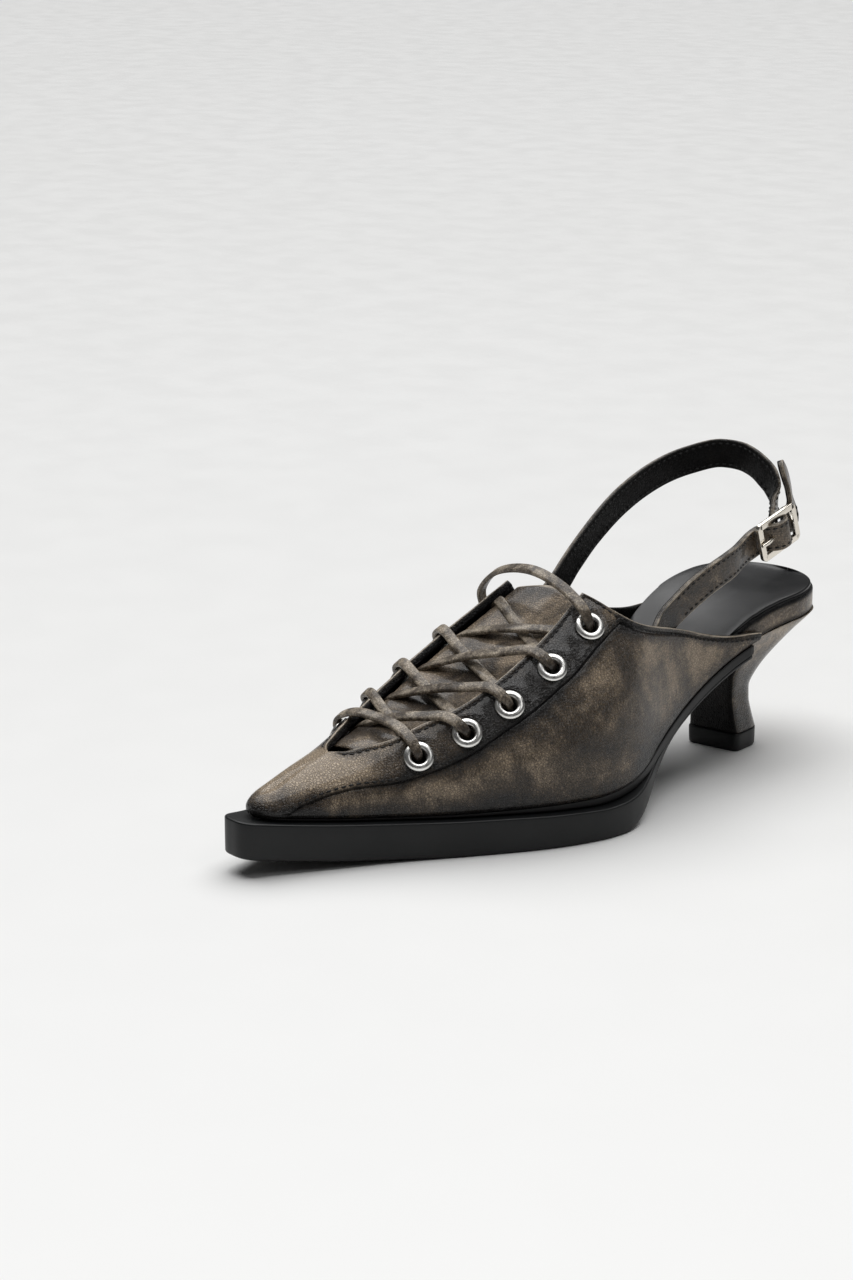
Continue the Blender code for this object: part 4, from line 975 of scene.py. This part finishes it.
def upperSide(side):
    columns = upperColumns()
    found = [upperColumn(side, along) for along in columns]
    alongs, turns, lifts, marks = (np.array(values) for values in list(zip(*found))[:4])
    turns = np.clip(turns, 0, rightAngle)
    normals, points = skinNormal(side, alongs, turns), skin(side, alongs, turns)
    for number in range(eyeletCount):  # the leather is pressed in at each eyelet and springs up around it
        away = np.linalg.norm(points - eyeletSpot(side, number)[0], axis=-1)
        dent = hill(away, *upperRelief["eyeletPad"]) + hill(away, *upperRelief["eyeletPress"])
        lifts = lifts + np.where(lifts > upperLook["outsideLift"], dent, 0)
    points = points + normals * lifts[..., None]
    isOutside = (lifts > upperLook["outsideLift"])[..., None]
    points = np.where(isOutside, creased(points, normals, foldedCreases[side]), points)
    share, edge, ink, arcs, toSeam = np.moveaxis(marks, -1, 0)
    y, mark = points[..., 1], upperMarks
    tone = mark["tone"] + 0 * y
    # rubbed tone, with painted highlights on the waist and on the toe's top
    for spotY, spotUp, spreadY, spreadUp, strength in rubbedSpotsAndSheen:
        tone = tone + strength * hill(y, spotY, spreadY) * hill(share, spotUp, spreadUp)
    foot = 1 - ease(arcs / (.45 + .55 * ease(y, *mark["footWidens"])), *mark["footAt"])
    tone -= mark["footTone"] * foot * (1 - ease(y, *mark["footUntil"]))
    tone += hill(toSeam, *mark["underSeamTone"]) + hill(toSeam, *mark["overSeamTone"])
    return columns, points, found[0][4], {"tone": tone, "edge": edge, "ink": ink}


def buildUpper():
    allPoints, faces, extra, base = [], [], {"tone": [], "edge": [], "ink": []}, 0
    for side in (outer, inner):
        columns, points, (outsideRows, lipRows), marks = upperSide(side)
        c, r = points.shape[:2]
        lipStart, lipEnd = outsideRows - 1, outsideRows + lipRows - 1
        for i in range(c - 1):
            closedTop = columns[i] < throatStart - 1e-6  # no lip in front of the throat
            here, following = base + i * r, base + (i + 1) * r
            faces += [(here + j, following + j, following + (j + 1) % r, here + (j + 1) % r)
                      for j in range(r) if not (closedTop and lipStart <= j < lipEnd)]
        rear = base + (c - 1) * r
        for a in range(outsideRows // 2 + upperLook["rearClosed"]):  # close the rear end
            b = r - 1 - a
            if b - 1 > a + 1:
                faces.append((rear + a, rear + b, rear + b - 1, rear + a + 1))
        allPoints.append(points.reshape(-1, 3))
        for label in extra:
            extra[label].append(marks[label].ravel())
        base += c * r
    return addPiece("upper_shell", np.concatenate(allPoints), faces, upperLeather, ["upper"],
                    {label: np.concatenate(values) for label, values in extra.items()})


upperShell = buildUpper()


def punchEyelets(target):
    radius = (eyeletLook["hole"] + eyeletLook["wall"] + .15) * mm
    work = bmesh.new()
    for side, number in everyEyelet:
        place, normal = eyeletSpot(side, number)
        turned = Vector(normal).to_track_quat("Z", "Y").to_matrix().to_4x4()
        bmesh.ops.create_cone(work, cap_ends=True, segments=32, radius1=radius, radius2=radius, depth=9 * mm,
                              matrix=Matrix.Translation(Vector(toWorld(place))) @ turned)
    mesh = bpy.data.meshes.new("punch")
    work.to_mesh(mesh)
    work.free()
    punch = placeObject("punch", mesh)
    step = target.modifiers.new("holes", "BOOLEAN")
    step.operation, step.solver, step.object = "DIFFERENCE", "EXACT", punch
    cut = bpy.data.meshes.new_from_object(target.evaluated_get(bpy.context.evaluated_depsgraph_get()))
    target.modifiers.clear()
    target.data = cut
    bpy.data.objects.remove(punch, do_unlink=True)


punchEyelets(upperShell)

print("stage: eyelets")


def buildEyelets():
    face = leather["step"] + shoe["gap"] + eyeletLook["clear"]
    back = -(leather["wall"] + .9)
    hole, wide, sides = eyeletLook["hole"], eyeletLook["face"], eyeletLook["sides"]
    barrel = hole + eyeletLook["wall"]
    profile = [(hole, -1.5), (hole, face - .6), (hole + .08, face + .1), (hole + .3, face + .5),
               (hole + .62, face + .72), (hole + 1.1, face + .80), (wide - .9, face + .70),
               (wide - .35, face + .42), (wide - .08, face + .1), (wide, face - .15),
               (wide - .12, face - .35), (barrel + .3, face - .35), (barrel, face - .5),
               (barrel, back + .1), (wide - 1.1, back), (wide - .9, back - .3), (hole + .9, back - .7),
               (hole + .2, back - .5), (hole, back)]
    faces = tubeFaces(sides, len(profile), closed=True)
    for side, number in everyEyelet:
        place, normal = eyeletSpot(side, number)
        axes = np.array(Vector(normal).to_track_quat("Z", "Y").to_matrix()).T
        points = [place + axes[0] * r * math.cos(a) + axes[1] * r * math.sin(a) + axes[2] * z
                  for a in np.linspace(0, 2 * math.pi, sides, endpoint=False) for r, z in profile]
        node = f"eyelet_{sideName(side)}_{number + 1}"
        addPiece(f"{node}_visual", points, faces, eyeletNickel, [node])


buildEyelets()

print("stage: tongue")
tongueLook = {"start": .178, "end": throatEnd - .012, "columns": 90, "rows": 40, "rise": 5.0, "risePower": 7,
              "slack": .35, "sink": 1.3, "sinkOver": (.185, .225), "coverOver": (.15, .22),
              "creases": (((-14, 92, 50), (10, 98, 55), .3, 2.2), ((-10, 112, 60), (12, 118, 66), .3, 2.4),
                          ((-14, 76, 42), (6, 80, 46), .25, 1.8))}


def buildTongue():
    look = tongueLook
    tops, norms = [], []
    for along in np.linspace(look["start"], look["end"], look["columns"]):
        half = throat(min(along, throatEnd)) + leather["tongueCover"] * float(ease(along, *look["coverOver"]))
        drop = leather["wall"] + shoe["gap"] + look["sink"] * float(ease(along, *look["sinkOver"]))
        line, facing = over(along, half * np.linspace(-1, 1, look["rows"]), -drop)
        tops.append(line)
        norms.append(facing)
    tops, norms = np.array(tops), np.array(norms)
    # the free end stands up a little on the inner side; fine slack across the sheet
    u = np.linspace(-1, 1, look["rows"])[None, :]
    v = np.linspace(0, 1, look["columns"])[:, None]
    lifted = look["rise"] * (1 - u) / 2 * v ** look["risePower"]
    tops = tops + lifted[..., None] * unit(tops[-1] - tops[-8])
    slack = look["slack"] * np.sin(v * 21 + 1.5 * u) * (1 - u ** 2) * np.sin(math.pi * v)
    tops = creased(tops + norms * slack[..., None], norms, look["creases"])
    under = tops - norms * leather["tongue"]
    ends = tops[-1] + (tops[-1] - tops[-2]) * .8 - norms[-1] * leather["tongue"] / 2  # the rounded free edge
    c, r = tops.shape[:2]
    n = c * r
    points = np.concatenate([tops.reshape(-1, 3), under.reshape(-1, 3), ends])
    faces = gridFaces(c, r) + [f[::-1] for f in gridFaces(c, r, n)]
    faces += [(i * r + j, (i + 1) * r + j, n + (i + 1) * r + j, n + i * r + j)
              for i in range(c - 1) for j in (0, r - 1)]
    for j in range(r - 1):
        a = n - r + j
        faces += [(j, j + 1, n + j + 1, n + j), (a, a + 1, 2 * n + j + 1, 2 * n + j),
                  (n + a, n + a + 1, 2 * n + j + 1, 2 * n + j)]
    edge = np.concatenate([(np.exp(-(1 - v) / .012) + 0 * u).ravel(), np.zeros(n), np.full(r, .9)])
    tone = np.concatenate([(.52 + .16 * np.sin(v * 3.0) + 0 * u).ravel(), np.full(n, .2), np.full(r, .5)])
    ink = np.concatenate([np.zeros(n), np.full(n, .7), np.zeros(r)])
    addPiece("tongue_sheet", points, faces, tongueLeather, ["tongue"],
             {"tone": tone, "edge": edge * .8, "ink": ink})


buildTongue()

print("stage: laces")
laceLook = {"width": 3.9, "thick": 1.75, "corner": .7, "pinch": .32, "pinchOver": 3.2, "step": .7,
            "leave": .002, "beside": 1.0, "overBow": 2.0, "underBow": -1.0, "innerDrop": .9, "flapReach": .6,
            "inHole": -1.0, "outOfHole": 1.2, "behindHole": -3.4, "rim": 3.3, "rimFall": .5, "flap": 2.1,
            "hidden": -3.0, "sink": .4, "nearHole": 5.0, "nearShare": .45,
            "tuckOuter": .452, "tuckInner": .478,
            "topBar": (2.9, 4.4, 7.0, 9.7, 7.8, 5.4, 3.3), "bottomBar": (2.4, 2.9, 2.0, 1.3, 2.2, 3.4, 2.9),
            # holeShade and ink are painted shade on the lace where it goes into an eyelet hole
            "tone": .66, "holeShade": .35, "middleTone": .12, "edge": .55, "ink": .55}


def lacePlaces():
    # one closed round: the outer strand up, the top bar, the inner strand down, the bottom bar;
    # between the flaps a strand is a straight line with a little bow
    look = laceLook

    def under(at, side):
        return at, side * (throat(min(at, throatEnd)) + look["beside"])

    def between(a, b, share):
        return a[0] + (b[0] - a[0]) * share, a[1] + (b[1] - a[1]) * share

    def line(start, end, bow):
        found = []
        for share in (.25, .5, .75):
            facing = unit(start[1] * (1 - share) + end[1] * share)
            spot = start[0] * (1 - share) + end[0] * share + facing * bow * math.sin(math.pi * share)
            found.append((spot, facing))
        return [*found, end]

    def strand(side):  # places from the bottom eyelet of one side to the top eyelet that it reaches
        places = []
        for number in range(eyeletCount - 1):
            here, goal = eyeletPlace(number, side), eyeletPlace(number + 1, -side)
            out = under(here[0] + look["leave"], side)
            bow = look["overBow"] if side == inner else look["underBow"]
            start = over(*out, look["hidden"] - (look["innerDrop"] if side == inner else 0))
            places += [over(*here, look["inHole"]), over(*here, look["behindHole"]),
                       over(*between(here, out, look["nearShare"]), look["hidden"] - look["sink"]), start]
            if number < eyeletCount - 2:
                reached = abs(out[1]) + throat(goal[0]) + look["flapReach"]
                edge = between(out, goal, reached / (abs(out[1]) + abs(goal[1])))
                near = look["nearHole"] / (abs(goal[1] - out[1]) + 1e-6)
                nearer = between(out, goal, 1 - look["nearShare"] * near)
                places += line(start, over(*edge, look["flap"]), bow)
                places += [over(*between(out, goal, 1 - near), look["rim"]),
                           over(*nearer, look["rim"] - look["rimFall"])]
            else:
                below = under(look["tuckOuter"] if side == inner else look["tuckInner"], -side)
                places += line(start, over(*below, look["hidden"] + look["sink"]), bow)
                places += [over(*between(below, goal, .5), look["hidden"] - look["sink"]),
                           over(*goal, look["behindHole"] - .2), over(*goal, look["inHole"])]
            places.append(over(*goal, look["outOfHole"]))
            side = -side
        return places

    def bar(number, lifts):  # over both flaps, from the outer to the inner side
        a, b = eyeletPlace(number, outer), eyeletPlace(number, inner)
        near = look["nearHole"] / abs(a[1] - b[1])
        shares = (look["nearShare"] * near, near, .25, .5, .75, 1 - near, 1 - look["nearShare"] * near)
        return [over(*between(a, b, share), lift) for share, lift in zip(shares, lifts)]

    # four crossings bring a strand back to the side that it starts from
    fromOuter, fromInner = (over(*eyeletPlace(0, side), look["outOfHole"]) for side in (outer, inner))
    return ([fromOuter] + strand(outer) + bar(eyeletCount - 1, look["topBar"]) + strand(inner)[::-1]
            + [fromInner] + bar(0, look["bottomBar"])[::-1])


def sameWay(vectors):  # turns over each vector that points against the one before it
    for i in range(1, len(vectors)):
        if vectors[i] @ vectors[i - 1] < 0:
            vectors[i] *= -1
    return vectors


def buildLaces():
    look = laceLook
    points, normals = (np.array(values) for values in zip(*lacePlaces()))
    flatWay = across(np.roll(points, -1, 0) - np.roll(points, 1, 0), normals)
    flats = sameWay(unit(np.cross(normals, flatWay)))
    n = len(points)
    samples, sides = [], []
    for i in range(n):  # centripetal curve through the places
        p0, p1, p2, p3 = (points[(i + k) % n] for k in (-1, 0, 1, 2))
        span = np.linalg.norm(p2 - p1)
        d0, d1, d2 = (max(np.linalg.norm(b - a), 1e-6) ** .5 for a, b in ((p0, p1), (p1, p2), (p2, p3)))
        m1 = (p2 - p1) + d1 * ((p1 - p0) / d0 - (p2 - p0) / (d0 + d1))
        m2 = (p2 - p1) + d1 * ((p3 - p2) / d2 - (p3 - p1) / (d1 + d2))
        nextFlat = flats[(i + 1) % n]
        nextFlat = -nextFlat if nextFlat @ flats[i] < 0 else nextFlat
        for u in np.arange(0, 1, 1 / max(2, round(span / look["step"]))):
            samples.append(p1 * (1 + 2 * u) * (1 - u) ** 2 + m1 * u * (1 - u) ** 2 + p2 * u * u * (3 - 2 * u)
                           - m2 * u * u * (1 - u))
            sides.append(flats[i] * (1 - u) + nextFlat * u)
    route, sides = np.array(samples), sameWay(np.array(sides))
    for _ in range(3):
        route = .5 * route + .25 * (np.roll(route, 1, 0) + np.roll(route, -1, 0))
    ahead = unit(np.roll(route, -1, 0) - np.roll(route, 1, 0))
    sides = unit(across(sides, ahead))
    outline = roundedOutline(look["width"], look["thick"], look["corner"])
    holes = np.array([eyeletSpot(side, number)[0] for side, number in everyEyelet])
    toHole = np.min(np.linalg.norm(route[:, None] - holes[None], axis=2), axis=1)
    narrow = 1 - look["pinch"] * hill(toHole, 0, look["pinchOver"])
    rings = sweep(route, sides, np.cross(sides, ahead), outline, narrow)
    middle = np.abs(outline[:, 0]) / (look["width"] / 2)
    # painted shade: the lace darkens toward each eyelet hole and is inked black close in, standing for the
    # shade inside the hole
    tone = (look["tone"] - look["holeShade"] * hill(toHole, 0, 4.0))[:, None]
    tone = tone - look["middleTone"] * (1 - middle) ** 2
    # painted highlight along both rounded edges of the lace
    edge = np.tile(look["edge"] * hill(middle, .85, .14), len(route))
    ink = (look["ink"] * hill(toHole, 0, 2.6))[:, None] + 0 * tone
    nodes = ["lace_bar_bottom", "lace_bar_top"] + [f"lace_cross_{i + 1}" for i in range(4)]
    addPiece("laces", rings.reshape(-1, 3), tubeFaces(len(route), len(outline), closed=True), laceLeather,
             nodes, {"tone": tone, "edge": edge, "ink": ink})


buildLaces()

print("stage: straps and buckle")
strapLook = {"width": 10.8, "thick": 2.1, "clear": .9, "corner": .55, "stitchIn": 1.5, "samples": 300,
             "groove": .22, "lap": .02, "tip": 7, "tipShare": .12, "tipPower": 1.7, "tone": .40}
slingRows = table("along side height",
                  (.560, -.190, 1.16), (.590, -.205, 1.30), (.640, -.245, 1.48), (.694, -.292, 1.64),
                  (.757, -.330, 1.80), (.821, -.345, 1.92), (.881, -.318, 2.00), (.918, -.240, 2.045),
                  (.930, -.135, 2.03), (.928, -.040, 1.98), (.927, .025, 1.90), (.921, .068, 1.80))
billetRows = table("along side height",
                   (.605, .290, 1.06), (.655, .290, 1.25), (.720, .290, 1.44), (.768, .278, 1.52))
freeRows = table("along side height", (.912, .182, 1.80), (.908, .172, 1.95), (.896, .160, 2.12))
buckleLook = {"at": (.869, .240, 1.65), "aim": (-.07, .95, .30), "length": 21.5, "width": 15.2, "wire": 1.8,
              "face": 2.5, "bar": 1.4, "prong": 1.2, "freeTurn": 44}


def strapPoints(rows, seatedSide=None):
    points = np.stack([shoe["ball"] * rows["side"], shoe["length"] * rows["along"],
                       shoe["heel"] * rows["height"]], 1)
    for i in range(2 if seatedSide else 0):  # the first two lie against the inside of the wall
        along = float(rows["along"][i])
        wallAt = abs(skin(seatedSide, along, wallTurn(seatedSide, along, points[i, 2]))[0])
        points[i, 0] = seatedSide * (wallAt - leather["wall"] - strapLook["thick"] / 2 - strapLook["clear"])
    return points


def buckleAxes():
    y, x, z = buckleLook["at"]
    middle = np.array((shoe["ball"] * x, shoe["length"] * y, shoe["heel"] * z))
    ahead = unit(np.array(buckleLook["aim"], float))
    up = unit(np.array((0, 0, 1.0)) - ahead * ahead[2])
    return middle, ahead, up, np.cross(ahead, up)


def strapNormals(route, side, last):
    ahead = aheadOf(route)
    up = np.array((0, 0, 1.0)) - ahead * ahead[:, 2:]
    normals = unit(np.cross(up, ahead))
    for i in range(last):
        along = route[i, 1] / shoe["length"]
        lean = skinNormal(side, along, wallTurn(side, along, route[i, 2]))
        lean = lean if lean @ normals[i] > 0 else -lean
        share = 1 - float(ease(i, last / 2, last))
        normals[i] = unit(normals[i] * (1 - share) + lean * share)
    return normals


def strap(name, route, normals, nodes, tip=False):
    # two layers of leather with a line between them
    look = strapLook
    width = min(look["width"], buckleLook["width"] - 2 * buckleLook["wire"] - 2 * shoe["gap"])
    ahead = aheadOf(route)
    out = unit(across(normals, ahead))
    sideways = np.cross(ahead, out)
    outline = roundedOutline(width, look["thick"], look["corner"], 4)
    lap, groove = width / 2 - look["lap"], width / 2 - look["groove"]
    outline = np.insert(outline, len(outline) // 4 * 2, [(-lap, .2), (-groove, 0), (-lap, -.2)], 0)
    outline = np.concatenate([outline, [(lap, -.2), (groove, 0), (lap, .2)]])
    spans = walkedAlong(route)
    rounded = rounding(spans[-1] - spans, look["tip"], look["tipPower"])
    narrow = look["tipShare"] + (1 - look["tipShare"]) * rounded if tip else np.ones(1)
    rings = sweep(route, sideways, out, outline, narrow)
    share, face = np.abs(outline[:, 0]) / (width / 2), outline[:, 1]
    edge = np.where(share > .93, .55, 0) + .4 * hill(share, .92, .05)
    ink = np.where(face < -.3, .97, 0) + np.where((share > .9) & (np.abs(face) < .15), 1, 0)
    marks = {"tone": look["tone"] + 0 * share, "edge": np.clip(edge, 0, 1), "ink": np.clip(ink, 0, 1)}
    addPiece(name, rings.reshape(-1, 3), tubeFaces(len(route), len(outline)), strapLeather, nodes,
             {label: np.tile(values, len(route)) for label, values in marks.items()})
    return sideways, out, width


def strapStitches(name, route, sideways, out, width, first, last):
    rise = strapLook["thick"] / 2
    for label, sign in (("upper", 1), ("lower", -1)):
        for face, way in (("out", 1), ("in", -1)):
            line = route + sideways * sign * (width / 2 - strapLook["stitchIn"]) + out * way * rise
            stitchRow(f"{name}_{label}_{face}", line[first:last], out[first:last] * way)


middle, ahead, up, out = buckleAxes()
wire, bar = buckleLook["wire"], buckleLook["bar"]
lie = wire / 2 + shoe["gap"] + strapLook["thick"] / 2
slingPoints = np.concatenate([strapPoints(slingRows, inner), [
    middle + ahead * (buckleLook["length"] * .52) - out * (lie + 4.4 * strapLook["thick"]),
    middle + ahead * wire - out * (lie + 1.2 * strapLook["thick"])]])
route = smoothRoute(slingPoints, strapLook["samples"])
pieceAxes = strap("sling_strap_visual", route, strapNormals(route, inner, 100), ["sling_strap"])
strapStitches("sling_stitch", route, *pieceAxes, 40, 292)

# the other strap comes from below, over the bar and under the far end, and its free end turns forward
reach = (buckleLook["length"] - wire) / 2
lie = wire / 2 + 3 * shoe["gap"] + .7 * strapLook["thick"]
throughBuckle = ((-reach - wire, -lie), (-reach + wire, -lie), (-bar * .6, lie - .2), (bar * .6, lie - .2),
                 (reach - wire, -lie), (reach + wire * .6, -lie))
inside = [middle + ahead * a + out * b for a, b in throughBuckle]
billetPoints = np.concatenate([strapPoints(billetRows, outer), inside, strapPoints(freeRows)])
route = smoothRoute(billetPoints, strapLook["samples"])
normals = -strapNormals(route, outer, 90)
freeTurn = math.radians(buckleLook["freeTurn"])
aim = np.array((math.cos(freeTurn), math.sin(freeTurn), 0))
inBuckle = ease((route - middle) @ ahead, -reach - 3 * wire, -reach)[:, None]
free = ease(np.arange(len(route)), len(route) - 64, len(route) - 36)[:, None]
normals = unit((normals * (1 - inBuckle) + out * inBuckle) * (1 - free) + aim * free)
pieceAxes = strap("billet_strap_visual", route, normals, ["billet_strap"], tip=True)
strapStitches("billet_stitch", route, *pieceAxes, 55, 258)


def buildBuckle():
    face, prong, corner, steps = buckleLook["face"], buckleLook["prong"], 1.0, 8
    long, wide = buckleLook["length"] - face, buckleLook["width"] - face
    loop = np.array([middle + ahead * a + up * b for a, b in roundedOutline(long, wide, corner, steps)])
    outward = np.array([ahead * math.cos(a) + up * math.sin(a) for *_, first in quarterTurns
                        for a in np.radians(np.linspace(first, first + 90, steps + 1))])
    outline = roundedOutline(face, wire * .95, .3)
    frameRings = sweep(loop, outward, np.tile(out, (len(loop), 1)), outline).reshape(-1, 3)
    faces = tubeFaces(len(loop), len(outline), closed=True)
    barRoute = np.linspace(middle - up * wide / 2, middle + up * wide / 2, 12)
    ring = roundedOutline(bar, bar, bar * .49, 4)
    barRings = sweep(barRoute, np.tile(ahead, (12, 1)), np.tile(out, (12, 1)), ring).reshape(-1, 3)
    faces += tubeFaces(12, len(ring), len(loop) * len(outline))
    addPiece("buckle_frame_visual", np.concatenate([frameRings, barRings]), faces, buckleNickel,
             ["buckle_frame"])
    # the prong curls around the bar and runs out over the frame
    seat, half = wire / 2 + shoe["gap"] + prong / 2, (bar + prong) / 2
    curl = [(half * math.cos(a), half * math.sin(a)) for a in np.radians(np.linspace(-100, 110, 9))]
    run = [(-.35 * reach, .45 * seat + .5), (-.7 * reach, .9 * seat + .3), (-reach, seat + .1),
           (-reach - wire * .7, seat - .15)]
    samples = 60
    route = smoothRoute([middle + ahead * a + out * b for a, b in curl + run], samples)
    flats = np.tile(up, (samples, 1))
    ring = roundedOutline(1.6, prong, .5)
    narrow = .55 + .45 * rounding(np.linspace(1, 0, samples), .35)
    rings = sweep(route, flats, np.cross(aheadOf(route), flats), ring, narrow)
    addPiece("buckle_prong_visual", rings.reshape(-1, 3), tubeFaces(samples, len(ring)), buckleNickel,
             ["buckle_prong"])


buildBuckle()

print("stage: stitching")
# first and last column, their count and spacing, the line's place from seam and top, and its lift
stitchLines = {
    "seam_stitch": (.066, .536, 160, 1.0, lambda seam, top: min(seam + 1.3, top - .5),
                    lambda along: leather["step"] - .1),
    "throat_stitch": (.158, .498, 150, 1.3, lambda seam, top: top - 2.3, lambda along: leather["step"] - .05),
    "top_line_stitch": (.506, .822, 120, 1.0, lambda seam, top: max(top - 2.3, .4),
                        lambda along: leather["step"] * (1 - float(ease(along, .535, .56))))}
for side in (outer, inner):
    for label, (first, last, count, power, placeOf, liftOf) in stitchLines.items():
        line, facing = [], []
        for along in first + (last - first) * np.linspace(0, 1, count) ** power:
            turns, walked, seamArc, topArc = columnArcs(side, along)
            turn = float(np.interp(placeOf(seamArc, topArc), walked, turns))
            line.append(shell(side, along, turn, liftOf(along)))
            facing.append(skinNormal(side, along, turn))
        stitchRow(f"{label}_{sideName(side)}", np.array(line), np.array(facing))

print("stage: finish")
